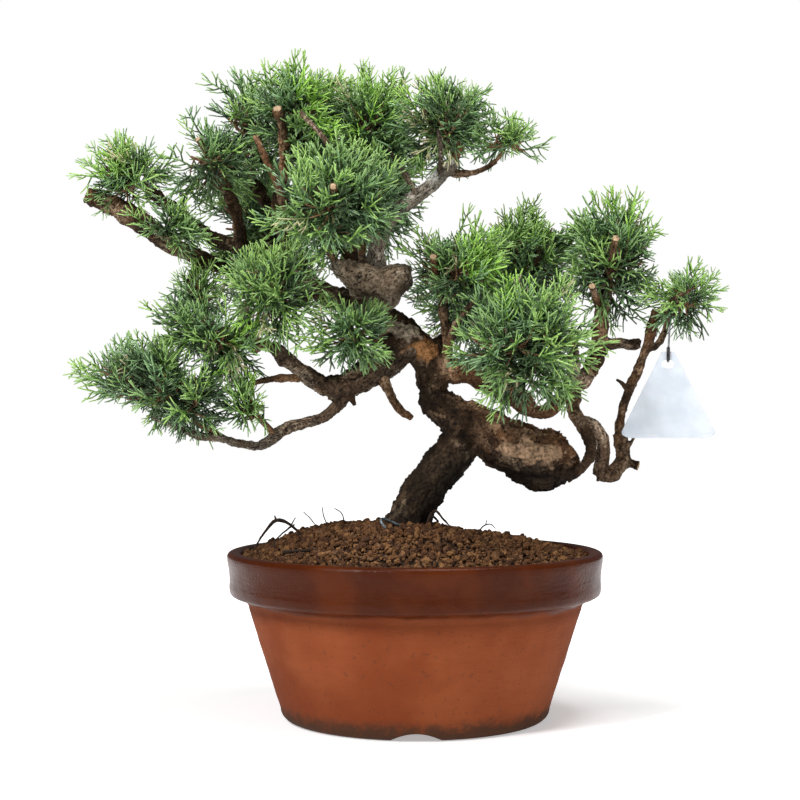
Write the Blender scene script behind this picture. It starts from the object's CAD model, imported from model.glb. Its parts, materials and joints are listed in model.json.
"""The looks of a juniper bonsai in a round terracotta training pot.

Metres, +Z up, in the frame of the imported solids: the origin is the centre of
the pot's flat underside, and the tree is seen from -Y. Each class makes one
sub-assembly from its own sizes.
"""

import json
import logging
import math
from collections.abc import Sequence
from dataclasses import dataclass
from enum import Enum

import bpy
import numpy as np
from mathutils import Matrix, noise

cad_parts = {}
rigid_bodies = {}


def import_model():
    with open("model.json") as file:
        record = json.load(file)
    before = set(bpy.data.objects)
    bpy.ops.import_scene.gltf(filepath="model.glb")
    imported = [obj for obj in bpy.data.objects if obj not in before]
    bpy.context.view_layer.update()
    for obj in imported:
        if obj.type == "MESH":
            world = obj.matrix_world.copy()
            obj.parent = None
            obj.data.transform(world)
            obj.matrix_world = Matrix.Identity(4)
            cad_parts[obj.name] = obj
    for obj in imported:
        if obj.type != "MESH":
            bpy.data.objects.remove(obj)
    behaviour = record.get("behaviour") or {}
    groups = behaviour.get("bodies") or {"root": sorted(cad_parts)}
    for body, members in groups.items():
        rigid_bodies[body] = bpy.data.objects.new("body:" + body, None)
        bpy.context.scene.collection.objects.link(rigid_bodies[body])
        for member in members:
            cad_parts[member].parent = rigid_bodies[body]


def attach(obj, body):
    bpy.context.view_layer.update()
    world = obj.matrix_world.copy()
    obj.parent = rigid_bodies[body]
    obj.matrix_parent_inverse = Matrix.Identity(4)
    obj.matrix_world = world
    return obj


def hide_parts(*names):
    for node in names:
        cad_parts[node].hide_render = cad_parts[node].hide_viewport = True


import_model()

LOG = logging.getLogger("juniper_bonsai")
BODY = "root"
Array = np.ndarray
Thing = bpy.types.Object
Material = bpy.types.Material
Socket = bpy.types.NodeSocket
Point = tuple[float, float, float]
Route = tuple[tuple[float, float, float, float], ...]
Colour = tuple[float, float, float]

UP = np.array([0.0, 0.0, 1.0])
GOLDEN_ANGLE = math.pi * (3.0 - math.sqrt(5.0))
TINY = 1e-12


def metres(table: object) -> Array:
    """Numbers in millimetres as an array in metres, kept to the micrometre."""
    return np.round(np.array(table, dtype=float) / 1000.0, 6)


# ------------ meshes as arrays


@dataclass
class Facets:
    """A mesh as arrays: its points, and its faces in groups of equal corner count.

    Each group is a pair: rows of 3 or 4 corner numbers, and one finish number a row.
    """

    points: Array
    faces: list[tuple[Array, Array]]


def joined(parts: Sequence[Facets]) -> Facets:
    """Join meshes end to end, each one's corner numbers moved on past the points before it."""
    starts = np.cumsum([0] + [len(part.points) for part in parts[:-1]])
    faces = [
        (corners + start, finish)
        for part, start in zip(parts, starts)
        for corners, finish in part.faces
    ]
    return Facets(np.vstack([part.points for part in parts]), faces)


def grid_faces(rows: int, columns: int, wrap_rows: bool = False) -> Array:
    """Quads of a grid of points numbered row by row, in which the last column joins the first.

    Args:
        rows: Rows of points.
        columns: Points in a row.
        wrap_rows: Whether the last row joins the first too.

    Returns:
        Rows of four corners: (r, c), (r, c + 1), (r + 1, c + 1), (r + 1, c).
    """
    row = np.arange(rows if wrap_rows else rows - 1)[:, None]
    column = np.arange(columns)[None, :]
    next_row = (row + 1) % rows
    next_column = (column + 1) % columns
    corners = [row * columns + column, row * columns + next_column,
               next_row * columns + next_column, next_row * columns + column]
    return np.stack(np.broadcast_arrays(*corners), axis=-1).reshape(-1, 4)


def plain(points: Array, corners: Array, finish: int = 0) -> Facets:
    """A mesh with one group of faces in one finish."""
    return Facets(points.reshape(-1, 3), [(corners, np.full(len(corners), finish))])


def placed(name: str, data: bpy.types.ID) -> Thing:
    """A new object of some data, in the scene."""
    thing = bpy.data.objects.new(name, data)
    bpy.context.scene.collection.objects.link(thing)
    return thing


def shown(name: str, facets: Facets, finishes: Sequence[Material],
          colour: Array | None = None, smooth: bool = True) -> Thing:
    """Put a mesh into the scene as an object at the origin.

    Args:
        name: Name of the object and its mesh.
        facets: Its points and faces.
        finishes: What the faces' finish numbers count through.
        colour: A colour for each point, kept as the attribute "tint".
        smooth: Whether it is shaded smooth.

    Returns:
        The new object.
    """
    mesh = bpy.data.meshes.new(name)
    sizes = np.concatenate([np.full(len(corners), corners.shape[1]) for corners, _ in facets.faces])
    corners = np.concatenate([corners.ravel() for corners, _ in facets.faces])
    numbers = np.concatenate([finish for _, finish in facets.faces])
    starts = np.concatenate([[0], np.cumsum(sizes)[:-1]])
    mesh.vertices.add(len(facets.points))
    mesh.vertices.foreach_set("co", facets.points.astype(np.float32).ravel())
    mesh.loops.add(len(corners))
    mesh.loops.foreach_set("vertex_index", corners.astype(np.int32))
    mesh.polygons.add(len(sizes))
    mesh.polygons.foreach_set("loop_start", starts.astype(np.int32))
    mesh.polygons.foreach_set("material_index", numbers.astype(np.int32))
    mesh.polygons.foreach_set("use_smooth", np.full(len(sizes), smooth))
    mesh.update(calc_edges=True)
    for finish in finishes:
        mesh.materials.append(finish)
    if colour is not None:
        tint = mesh.color_attributes.new("tint", "FLOAT_COLOR", "POINT")
        rows = np.column_stack([colour, np.ones(len(colour))])
        tint.data.foreach_set("color", rows.astype(np.float32).ravel())
    return placed(name, mesh)


def settled(thing: Thing) -> Thing:
    """Apply all the modifiers of an object, and give it back."""
    graph = bpy.context.evaluated_depsgraph_get()
    mesh = bpy.data.meshes.new_from_object(thing.evaluated_get(graph))
    thing.modifiers.clear()
    thing.data = mesh
    return thing


def lengths(vectors: Array) -> Array:
    """Length of each vector, along the last axis."""
    return np.linalg.norm(vectors, axis=-1)


def clamped(values: Array) -> Array:
    """Values kept from 0 to 1."""
    return np.clip(values, 0.0, 1.0)


def unit(vectors: Array) -> Array:
    """Vectors brought to length 1, along the last axis."""
    return vectors / np.maximum(np.linalg.norm(vectors, axis=-1, keepdims=True), TINY)


# ------------ noise


def lattice_values(cells: Array, seed: int) -> Array:
    """A fixed random value from -1 to 1 for each cell of a lattice, by an integer hash."""
    primes = np.array([73856093, 19349663, 83492791], dtype=np.int64)
    mixed = (cells * primes).sum(axis=-1) + seed * 2654435761
    mixed = (mixed ^ (mixed >> 13)) * 1274126177 & 0x7FFFFFFF
    mixed = (mixed ^ (mixed >> 15)) * 668265263 & 0x7FFFFFFF
    return mixed / 0x3FFFFFFF - 1.0


def smooth_noise(points: Array, seed: int = 0) -> Array:
    """Smooth noise from -1 to 1: lattice values blended by 6t^5 - 15t^4 + 10t^3 along each axis."""
    cell = np.floor(points).astype(np.int64)
    part = points - cell
    ease = part ** 3 * (part * (part * 6.0 - 15.0) + 10.0)
    total = np.zeros(points.shape[:-1])
    for corner in np.ndindex(2, 2, 2):
        weight = np.prod(np.where(corner, ease, 1.0 - ease), axis=-1)
        total += weight * lattice_values(cell + np.array(corner), seed)
    return total


def layered_noise(points: Array, octaves: int, seed: int = 0) -> Array:
    """Noise in layers, each of twice the frequency and half the height of the one before."""
    layers = [smooth_noise(points * 2.0 ** layer, seed + layer) / 2.0 ** layer
              for layer in range(octaves)]
    return sum(layers) / (2.0 - 2.0 ** (1 - octaves))


def ridged_noise(points: Array, octaves: int, seed: int = 0) -> Array:
    """Sharp ridges where a layered noise passes zero: 1 at the ridges, falling towards 0."""
    return 1.0 - np.abs(layered_noise(points, octaves, seed)) * 1.6


def round_angles(count: int) -> Array:
    """Angles in equal steps all the way round, from 0."""
    return np.linspace(0.0, math.tau, count, endpoint=False)


def terraces(values: Array) -> tuple[Array, Array]:
    """The whole part of each value, and how far it is past that."""
    level = np.floor(values)
    return level, values - level


# ------------ paths, tubes and shoots


def smooth_route(route: Route | Array, steps: int) -> Array:
    """A Catmull-Rom curve through the rows of a route, its radius carried along with its place.

    Args:
        route: Rows of x, y, z, radius.
        steps: Rows between one row of the route and the next.

    Returns:
        The denser rows.
    """
    points = np.array(route, dtype=float)
    ends = np.vstack([2 * points[0] - points[1], points, 2 * points[-1] - points[-2]])
    share = np.linspace(0.0, 1.0, steps, endpoint=False)[:, None]
    spans = []
    for before, start, end, after in zip(ends, ends[1:], ends[2:], ends[3:]):
        bend = 2 * before - 5 * start + 4 * end - after
        twist = 3 * (start - end) + after - before
        spans.append(start + 0.5 * share * ((end - before) + share * (bend + share * twist)))
    return np.vstack(spans + [points[-1:]])


def carried_frames(places: Array) -> tuple[Array, Array, Array]:
    """Side, other side and forward vectors at each place of a path, carried along without a twist."""
    forward = unit(np.gradient(places, axis=0))
    helper = UP if abs(forward[0, 2]) < 0.9 else np.array([1.0, 0.0, 0.0])
    side = unit(np.cross(helper, forward[0]))
    sides = []
    for way in forward:
        side = unit(side - (side @ way) * way)
        sides.append(side)
    sides = np.array(sides)
    return sides, np.cross(forward, sides), forward


def closed_rings(rings: Array, poles: Array, turned_over: bool = False) -> Facets:
    """A skin of rings of points, closed at either end by a point.

    Args:
        rings: Points, as (rings, points in a ring, 3).
        poles: The points that close the first ring and the last.
        turned_over: Whether the faces look the other way.

    Returns:
        The skin. It looks outwards where the rings turn right-handed about the way they run.
    """
    rows, columns = rings.shape[:2]
    around = np.arange(columns)
    after = (around + 1) % columns
    count = rows * columns
    last = count - columns
    caps = np.vstack([np.column_stack([after, around, np.full(columns, count)]),
                      np.column_stack([last + around, last + after, np.full(columns, count + 1)])])
    order = -1 if turned_over else 1
    faces = [(corners[:, ::order], np.zeros(len(corners), int))
             for corners in (grid_faces(rows, columns), caps)]
    return Facets(np.vstack([rings.reshape(-1, 3), poles]), faces)


def tube(path: Array, columns: int) -> Facets:
    """A closed tube: rings about a path's rows of x, y, z, radius, each end closed by a point."""
    side, other, _ = carried_frames(path[:, :3])
    angle = round_angles(columns)[:, None]
    ring = np.cos(angle) * side[:, None] + np.sin(angle) * other[:, None]
    return closed_rings(path[:, None, :3] + path[:, None, 3:] * ring, path[[0, -1], :3])


def on_parabola(start: Array, line: Array, bow: Array, share: float | Array) -> Array:
    """Places on parabolas: start + t line + 4 t (1 - t) bow."""
    return start + share * line + 4.0 * share * (1.0 - share) * bow


@dataclass
class Shoots:
    """Many slender shoots as rows: each runs from its start to its end along a parabola."""

    starts: Array
    ends: Array
    bows: Array  # how far the middle of the parabola stands off the straight line
    roots: Array  # radius at the start
    tips: Array  # radius near the end

    @classmethod
    def tapering(cls, starts: Array, ends: Array, bows: Array, root: float, tip: float) -> "Shoots":
        """Shoots that all have the same radius at their roots, and the same at their tips."""
        return cls(starts, ends, bows, np.full(len(starts), root), np.full(len(starts), tip))

    def faceted(self, rings: int = 3, sides: int = 3) -> Facets:
        """The shoots as tapering prisms with pointed ends.

        The rings stand on the parabola, and their radii run from root to tip. Faces of the last span
        and of the point have finish 1, the others finish 0.

        Args:
            rings: Rings along each shoot.
            sides: Points in a ring.

        Returns:
            One mesh of all the shoots, the root of each closed.
        """
        count = len(self.starts)
        line = self.ends - self.starts
        forward = unit(line)
        helper = np.where(np.abs(forward[:, 2:3]) < 0.9, UP, np.array([1.0, 0.0, 0.0]))
        side = unit(np.cross(helper, forward))
        other = np.cross(forward, side)
        share = np.linspace(0.0, 1.0, rings)
        centre = on_parabola(self.starts[:, None], line[:, None], self.bows[:, None], share[:, None])
        radius = self.roots[:, None] + share * (self.tips - self.roots)[:, None]
        angle = round_angles(sides)
        ring = np.cos(angle)[:, None] * side[:, None] + np.sin(angle)[:, None] * other[:, None]
        body = centre[:, :, None] + radius[:, :, None, None] * ring[:, None]
        point = self.ends + forward * 1.6 * self.tips[:, None]
        points = np.concatenate([body.reshape(count, -1, 3), point[:, None]], axis=1)
        size = rings * sides + 1
        base = (np.arange(count) * size)[:, None, None]
        quads = (grid_faces(rings, sides)[None] + base).reshape(-1, 4)
        fresh = np.tile(np.repeat([0, 1], [(rings - 2) * sides, sides]), count)
        around = np.arange(sides)
        after = (around + 1) % sides
        last = (rings - 1) * sides
        tip = np.column_stack([last + around, last + after, np.full(sides, size - 1)])
        root = np.column_stack([np.zeros(sides - 2, int), around[2:], around[1:-1]])
        tips = (tip[None] + base).reshape(-1, 3)
        roots = (root[None] + base).reshape(-1, 3)
        faces = [(quads, fresh), (tips, np.ones(len(tips), int)), (roots, np.zeros(len(roots), int))]
        return Facets(points.reshape(-1, 3), faces)


@dataclass
class Scatter:
    """Copies of small meshes: each one's place, turn, size, kind and tone."""

    places: Array
    turns: Array  # matrices, whose columns are the copies' axes
    sizes: Array
    kinds: Array
    tones: Array

    def faceted(self, library: Sequence[Facets], step: int = 1) -> Facets:
        """The copies, kind by kind: point = place + size * turn(point).

        Args:
            library: The small meshes, which the kinds count through.
            step: Finishes to each tone.

        Returns:
            One mesh, with step * tone added to the finish numbers.
        """
        parts = []
        for kind, shape in enumerate(library):
            mine = self.kinds == kind
            turned = self.turns[mine] * self.sizes[mine, None, None]
            points = np.einsum("nij,kj->nki", turned, shape.points) + self.places[mine, None]
            base = (np.arange(len(points)) * len(shape.points))[:, None, None]
            tones = step * self.tones[mine, None]
            faces = [((corners + base).reshape(-1, corners.shape[1]), (finish + tones).ravel())
                     for corners, finish in shape.faces]
            parts.append(Facets(points.reshape(-1, 3), faces))
        return joined(parts)


def turns_towards(forward: Array, face: Array) -> Array:
    """Rotations that take Z to a forward vector and Y as near as can be to a face vector."""
    along = unit(forward)
    across = unit(np.cross(face, along))
    return np.stack([across, np.cross(along, across), along], axis=-1)


# ------------ finishes


class Recipe:
    """A material's node tree, put together by small calls that each return a socket."""

    def __init__(self, name: str) -> None:
        """Start a material with its Principled shader and Object coordinates."""
        self.material = bpy.data.materials.new(name)
        self.material.use_nodes = True
        self.tree = self.material.node_tree
        self.shader = self.tree.nodes["Principled BSDF"]
        self.place = self.tree.nodes.new("ShaderNodeTexCoord").outputs["Object"]

    def join(self, source: object, socket: Socket) -> None:
        """Feed a socket with another socket, a colour, a vector or a number."""
        if isinstance(source, Socket):
            self.tree.links.new(source, socket)
        elif isinstance(source, tuple):
            socket.default_value = (*source, 1.0)[:len(socket.default_value)]
        else:
            socket.default_value = source

    def node(self, kind: str, inputs: dict[str | int, object], **settings: object) -> bpy.types.Node:
        """Add a node of a kind, with what feeds each input by name or number, and its properties."""
        node = self.tree.nodes.new(kind)
        for name, value in settings.items():
            setattr(node, name, value)
        for key, value in inputs.items():
            self.join(value, node.inputs[key])
        return node

    def noise(self, scale: float, detail: float = 3.0, rough: float = 0.55,
              stretch: Point = (1.0, 1.0, 1.0)) -> Socket:
        """Fractal noise on the object's own coordinates, in cells to the metre; about 0.5 on average."""
        mapping = self.node("ShaderNodeMapping", {"Vector": self.place, "Scale": stretch})
        numbers = {"Scale": scale, "Detail": detail, "Roughness": rough}
        texture = self.node("ShaderNodeTexNoise", {"Vector": mapping.outputs["Vector"], **numbers})
        return texture.outputs["Fac"]

    def spots(self, scale: float) -> Socket:
        """Distance to the nearest of many scattered points, in cells."""
        texture = self.node("ShaderNodeTexVoronoi", {"Vector": self.place, "Scale": scale})
        return texture.outputs["Distance"]

    def height(self) -> Socket:
        """The Z of the object's own coordinates."""
        return self.node("ShaderNodeSeparateXYZ", {"Vector": self.place}).outputs["Z"]

    def reach(self) -> Socket:
        """Distance from the object's own origin."""
        return self.node("ShaderNodeVectorMath", {0: self.place}, operation="LENGTH").outputs["Value"]

    def ramp(self, value: object, low: float, high: float, start: float = 0.0,
             end: float = 1.0) -> Socket:
        """A smooth step of a value, from start at low to end at high."""
        inputs = {"Value": value, "From Min": low, "From Max": high, "To Min": start, "To Max": end}
        return self.node("ShaderNodeMapRange", inputs, interpolation_type="SMOOTHSTEP").outputs["Result"]

    def sum(self, first: object, second: object, operation: str = "ADD") -> Socket:
        """Two values put together by a Math node."""
        return self.node("ShaderNodeMath", {0: first, 1: second}, operation=operation).outputs["Value"]

    def blend(self, share: object, first: object, second: object,
              kind: str = "MIX") -> Socket:
        """Two colours mixed: the first at share 0, the second at share 1."""
        inputs = {"Factor": share, 6: first, 7: second}
        return self.node("ShaderNodeMix", inputs, data_type="RGBA", blend_type=kind).outputs[2]

    def attribute(self, name: str) -> Socket:
        """A colour attribute of the mesh."""
        return self.node("ShaderNodeAttribute", {}, attribute_name=name).outputs["Color"]

    def bump(self, height: Socket, distance: float, strength: float = 1.0) -> None:
        """Give the shader fine relief of a height in metres."""
        inputs = {"Strength": strength, "Distance": distance, "Height": height}
        self.join(self.node("ShaderNodeBump", inputs).outputs["Normal"], self.shader.inputs["Normal"])

    def set(self, **values: object) -> Material:
        """Set the shader's inputs by name, with _ for a space, and give the finished material."""
        for name, value in values.items():
            self.join(value, self.shader.inputs[name.replace("_", " ")])
        return self.material


def toned(colour: Colour, factor: float) -> Colour:
    """A colour made lighter or darker by a factor."""
    return tuple(min(1.0, factor * part) for part in colour)


@dataclass(frozen=True)
class FiredClay:
    """Terracotta with a satin brown slip on its rim band, and dirt at its foot."""

    clay: Colour = (0.168, 0.037, 0.011)
    pale_clay: Colour = (0.225, 0.057, 0.019)
    slip: Colour = (0.047, 0.0084, 0.0013)
    warm_slip: Colour = (0.072, 0.0135, 0.0018)
    dull_slip: Colour = (0.056, 0.0160, 0.0060)
    dirt: Colour = (0.045, 0.026, 0.016)
    clay_rough: Colour = (0.78, 0.78, 0.78)
    slip_rough: Colour = (0.30, 0.30, 0.30)
    slip_edge_z: float = 0.0875
    dirt_z: float = 0.026

    def material(self) -> Material:
        """Clay and slip parted by height, each with its own mottling, pits and brush marks."""
        paint = Recipe("fired_clay")
        drift = paint.sum(paint.noise(30.0, 2.0), 0.012, "MULTIPLY")
        level = paint.sum(paint.height(), drift)
        is_slip = paint.ramp(level, self.slip_edge_z + 0.0045, self.slip_edge_z + 0.0085)
        streaks = paint.noise(60.0, 4.0, 0.6, (1.0, 1.0, 7.0))
        clouds = paint.noise(14.0, 3.0)
        body = paint.blend(paint.ramp(clouds, 0.38, 0.66), self.clay, self.pale_clay)
        body = paint.blend(paint.ramp(streaks, 0.52, 0.75, 0.0, 0.30), body, self.clay)
        freckles = paint.ramp(paint.noise(260.0, 2.0), 0.60, 0.74, 0.0, 0.35)
        pits = paint.ramp(paint.spots(150.0), 0.12, 0.06, 0.0, 0.5)
        low = paint.ramp(paint.height(), self.dirt_z, 0.001)
        blots = paint.sum(low, paint.noise(70.0, 5.0, 0.75), "MULTIPLY")
        grime = paint.ramp(blots, 0.16, 0.48, 0.0, 0.85)
        for share in (freckles, pits, grime):
            body = paint.blend(share, body, self.dirt)
        shade = paint.ramp(level, self.slip_edge_z - 0.010, self.slip_edge_z + 0.006, 0.0, 0.40)
        body = paint.blend(shade, body, self.slip)
        band = paint.blend(paint.ramp(paint.noise(22.0, 3.0), 0.40, 0.62), self.slip, self.warm_slip)
        wear = paint.ramp(paint.noise(48.0, 5.0, 0.7, (1.0, 1.0, 3.0)), 0.50, 0.72, 0.0, 0.6)
        band = paint.blend(wear, band, self.dull_slip)
        paint.bump(paint.sum(paint.noise(420.0, 3.0, 0.6), streaks), 0.0006, 0.6)
        rough = paint.blend(is_slip, self.clay_rough, self.slip_rough)
        rough = paint.blend(0.25, rough, paint.noise(90.0, 4.0), "OVERLAY")
        colour = paint.blend(is_slip, body, band)
        return paint.set(Base_Color=colour, Roughness=rough, Specular_IOR_Level=0.09)


@dataclass(frozen=True)
class ClayGranule:
    """One tone of dry, crumbly baked-clay granules."""

    name: str
    colour: Colour

    def material(self) -> Material:
        """The tone, dusted lighter and darker, with a crumbly surface."""
        paint = Recipe(self.name)
        dark, light = toned(self.colour, 0.45), toned(self.colour, 1.55)
        tone = paint.blend(paint.ramp(paint.noise(900.0, 3.0), 0.30, 0.52), dark, self.colour)
        tone = paint.blend(paint.ramp(paint.noise(520.0, 2.0), 0.56, 0.74), tone, light)
        paint.bump(paint.noise(2200.0, 2.0), 0.0005, 0.7)
        return paint.set(Base_Color=tone, Roughness=0.95, Specular_IOR_Level=0.2)


@dataclass(frozen=True)
class BarkFinish:
    """Dry fibrous bark: the colours are worked out with its relief, and kept in the mesh."""

    name: str = "bark"

    def material(self) -> Material:
        """The mesh's own tints, broken up by fine fibres and dust."""
        paint = Recipe(self.name)
        tint = paint.attribute("tint")
        fibre = paint.noise(520.0, 5.0, 0.65)
        darker = paint.blend(1.0, tint, (0.45, 0.41, 0.38), "MULTIPLY")
        tone = paint.blend(paint.ramp(fibre, 0.36, 0.52, 1.0, 0.0), tint, darker)
        dust = paint.blend(1.0, tint, (1.45, 1.45, 1.50), "MULTIPLY")
        tone = paint.blend(paint.ramp(paint.noise(190.0, 4.0), 0.53, 0.72, 0.0, 0.75), tone, dust)
        paint.bump(paint.sum(fibre, paint.noise(1400.0, 3.0)), 0.0009, 0.8)
        return paint.set(Base_Color=tone, Roughness=0.88, Specular_IOR_Level=0.15)


class Green(Enum):
    """The tones of the scale foliage: the shoot's colour and its tip's."""

    DEEP = ((0.028, 0.060, 0.020), (0.062, 0.120, 0.040))
    BLUE = ((0.076, 0.152, 0.060), (0.165, 0.300, 0.118))
    MID = ((0.105, 0.205, 0.055), (0.215, 0.370, 0.110))
    LIVE = ((0.150, 0.290, 0.060), (0.290, 0.480, 0.115))
    FRESH = ((0.190, 0.400, 0.050), (0.320, 0.580, 0.085))
    PALE = ((0.200, 0.260, 0.090), (0.480, 0.440, 0.250))


@dataclass(frozen=True)
class ScaleLeaf:
    """One plain green, waxy and finely scaled."""

    name: str
    colour: Colour

    def material(self) -> Material:
        """A plain base colour on a waxy surface with scale-sized relief."""
        paint = Recipe(self.name)
        paint.bump(paint.noise(1500.0, 1.0), 0.0004, 0.5)
        wax = paint.ramp(paint.noise(300.0, 1.0), 0.3, 0.7, 0.30, 0.5)
        return paint.set(Base_Color=self.colour, Roughness=wax, Specular_IOR_Level=0.7)


@dataclass(frozen=True)
class PlasticSheet:
    """Thin frosted plastic, clouded and lightly scuffed."""

    colour: Colour = (0.53, 0.57, 0.63)
    milky: Colour = (0.64, 0.67, 0.73)

    def material(self) -> Material:
        """A milky sheet that lets a little light through."""
        paint = Recipe("frosted_plastic")
        cloud = paint.blend(paint.ramp(paint.noise(45.0, 3.0), 0.35, 0.7), self.colour, self.milky)
        paint.bump(paint.noise(800.0, 2.0), 0.0002, 0.5)
        return paint.set(Base_Color=cloud, Roughness=0.42, Subsurface_Weight=0.15)


@dataclass(frozen=True)
class DullMetal:
    """Weathered wire."""

    name: str
    colour: Colour
    rough: float = 0.45

    def material(self) -> Material:
        """Metal with darker tarnish in patches."""
        paint = Recipe(self.name)
        tarnish = paint.ramp(paint.noise(300.0, 4.0), 0.40, 0.65)
        tone = paint.blend(tarnish, self.colour, toned(self.colour, 0.4))
        paint.bump(paint.noise(1500.0, 2.0), 0.0002, 0.5)
        return paint.set(Base_Color=tone, Metallic=0.9, Roughness=self.rough)


@dataclass(frozen=True)
class StudioFloor:
    """A plain pale sweep."""

    colour: Colour = (0.92, 0.92, 0.92)
    pale: Colour = (0.93, 0.93, 0.93)
    white: Colour = (1.0, 1.0, 1.0)
    glow: float = 0.40  # stands in for white surroundings that are lit by themselves
    far_glow: float = 0.95
    far: tuple[float, float] = (0.22, 0.75)  # the glow grows between these distances from the middle

    def material(self) -> Material:
        """A matt pale surface with the faintest mottling, white in the distance."""
        paint = Recipe("studio_floor")
        tone = paint.blend(paint.noise(3.0, 1.0), self.colour, self.pale)
        level = paint.ramp(paint.reach(), *self.far, self.glow, self.far_glow)
        return paint.set(Base_Color=tone, Roughness=0.9, Emission_Color=self.white,
                         Emission_Strength=level)


# ------------ pot


@dataclass
class Pot:
    """A turned bowl with a heavy rim band, three notches in its foot and three drain holes."""

    rim_radius: float = 0.140
    rim_z: float = 0.1242
    rim_wall: float = 0.0105
    band_z: float = 0.0914
    band_radius: float = 0.1382
    body_top_radius: float = 0.1238
    body_top_z: float = 0.0824
    foot_radius: float = 0.1005
    foot_edge: float = 0.0085
    wall: float = 0.010
    floor: float = 0.014
    drain_radius: float = 0.008
    drain_circle: float = 0.048
    notch_width: float = 0.037
    notch_height: float = 0.006
    notches: int = 3
    columns: int = 288
    waver: float = 0.0004  # how far the thrown wall wanders
    lip: float = 0.0035  # radii of the rim's inner and outer edges
    brow: float = 0.0036
    roll: float = 0.0052  # radius under the band
    band_sag: float = 0.0007
    neck: float = 0.0085  # how far the wall is drawn in under the band
    hub: float = 0.004  # radius of the rings nearest the middle

    def inner_radius(self, z: float | Array) -> Array:
        """Inner radius of the wall at a height, straight between the foot, body top, band and rim."""
        heights = (self.floor, self.body_top_z, self.band_z, self.rim_z)
        flare = self.body_top_radius - self.foot_radius
        foot = self.foot_radius + flare * self.floor / self.body_top_z
        radii = (foot - self.wall, self.body_top_radius - self.wall,
                 self.band_radius - self.rim_wall, self.rim_radius - self.rim_wall)
        return np.interp(z, heights, radii)

    def profile(self) -> Array:
        """Rows of (radius, z), from the floor's middle up inside, over the rim and down to the foot."""
        inner_x = self.rim_radius - self.rim_wall
        inside_z = np.linspace(self.floor + 0.004, self.rim_z - 0.004, 16)
        inside = np.column_stack([self.inner_radius(inside_z), inside_z])
        lip = self.corner(inner_x + self.lip, self.rim_z - self.lip, self.lip, 180, 90, 6)
        brow = self.corner(self.rim_radius - self.brow, self.rim_z - self.brow, self.brow, 90, 2, 9)
        band_z = np.linspace(self.rim_z - 0.007, self.band_z + 0.0065, 14)
        sag = self.band_sag * np.sin(np.linspace(0.0, math.pi, 14))
        band_x = np.linspace(self.rim_radius - 0.0002, self.band_radius + 0.0004, 14) - sag
        band = np.column_stack([band_x, band_z])
        roll = self.corner(self.band_radius - 0.0050, self.band_z + self.roll, self.roll, 0, -78, 8)
        throat_z = np.linspace(self.band_z - 0.0012, self.body_top_z, 8)[1:]
        ease = np.linspace(0.0, 1.0, 8)[1:]
        step = self.band_radius - self.neck - self.body_top_radius
        throat = np.column_stack([self.body_top_radius + step * (1.0 - ease) ** 2, throat_z])
        body_z = np.linspace(self.body_top_z - 0.003, self.foot_edge + 0.002, 36)
        rise = (body_z - self.foot_edge) / (self.body_top_z - self.foot_edge)
        flare = self.body_top_radius - self.foot_radius
        body = np.column_stack([self.foot_radius + flare * rise, body_z])
        sole = self.foot_radius - self.foot_edge
        foot = self.corner(sole, self.foot_edge, self.foot_edge, 0, -90, 10)
        under = np.column_stack([np.linspace(sole - 0.004, self.hub, 18), np.zeros(18)])
        bed_x = np.linspace(self.hub, self.inner_radius(self.floor) - 0.006, 8)
        bed = np.column_stack([bed_x, np.full(8, self.floor)])
        return np.vstack([bed, inside, lip, brow, band, roll, throat, body, foot, under])

    @staticmethod
    def corner(x: float, z: float, radius: float, start: float, end: float, count: int) -> Array:
        """Rows of (x, z) on an arc about a point, its angles in degrees from +X."""
        angle = np.radians(np.linspace(start, end, count))
        return np.column_stack([x + radius * np.cos(angle), z + radius * np.sin(angle)])

    def shell(self) -> Facets:
        """The profile turned about Z: (r cos a, r sin a, z), with the wall wandering by slow noise."""
        profile = self.profile()
        angle = round_angles(self.columns)
        x = profile[:, :1] * np.cos(angle)
        y = profile[:, :1] * np.sin(angle)
        z = np.broadcast_to(profile[:, 1:], x.shape)
        points = np.stack([x, y, z], axis=-1)
        outward = unit(points * np.array([1.0, 1.0, 0.0]))
        throwing = layered_noise(points * np.array([9.0, 9.0, 110.0]), 2, 3)
        dents = layered_noise(points * 34.0, 3, 5)
        push = self.waver * (0.6 * throwing + 1.1 * dents)
        standing = clamped(z / 0.006) * clamped(z / self.floor)  # the underside stays flat
        points = points + outward * (push * standing)[..., None]
        return closed_rings(points, np.array([self.floor * UP, 0.0 * UP]), turned_over=True)

    def cutters(self) -> bpy.types.Collection:
        """The drain holes and notches, as cylinders in a collection: upright, and lying outwards."""
        group = bpy.data.collections.new("pot_cutters")
        bpy.context.scene.collection.children.link(group)
        radius = ((self.notch_width / 2) ** 2 + self.notch_height ** 2) / (2 * self.notch_height)
        length = self.rim_radius - self.drain_circle
        for index in range(self.notches):
            angle = math.tau * index / self.notches - math.pi / 2
            way = np.array([math.cos(angle), math.sin(angle), 0.0])
            start = way * self.drain_circle
            middle = start + (self.notch_height - radius) * UP
            drain = (start - 0.01 * UP, start + 0.04 * UP, self.drain_radius, 48)
            notch = (middle, middle + way * length, radius, 256)
            for first, last, girth, columns in (drain, notch):
                cutter = shown("cutter", tube(np.array([[*first, girth], [*last, girth]]), columns), [])
                bpy.context.scene.collection.objects.unlink(cutter)
                group.objects.link(cutter)
        return group

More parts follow.
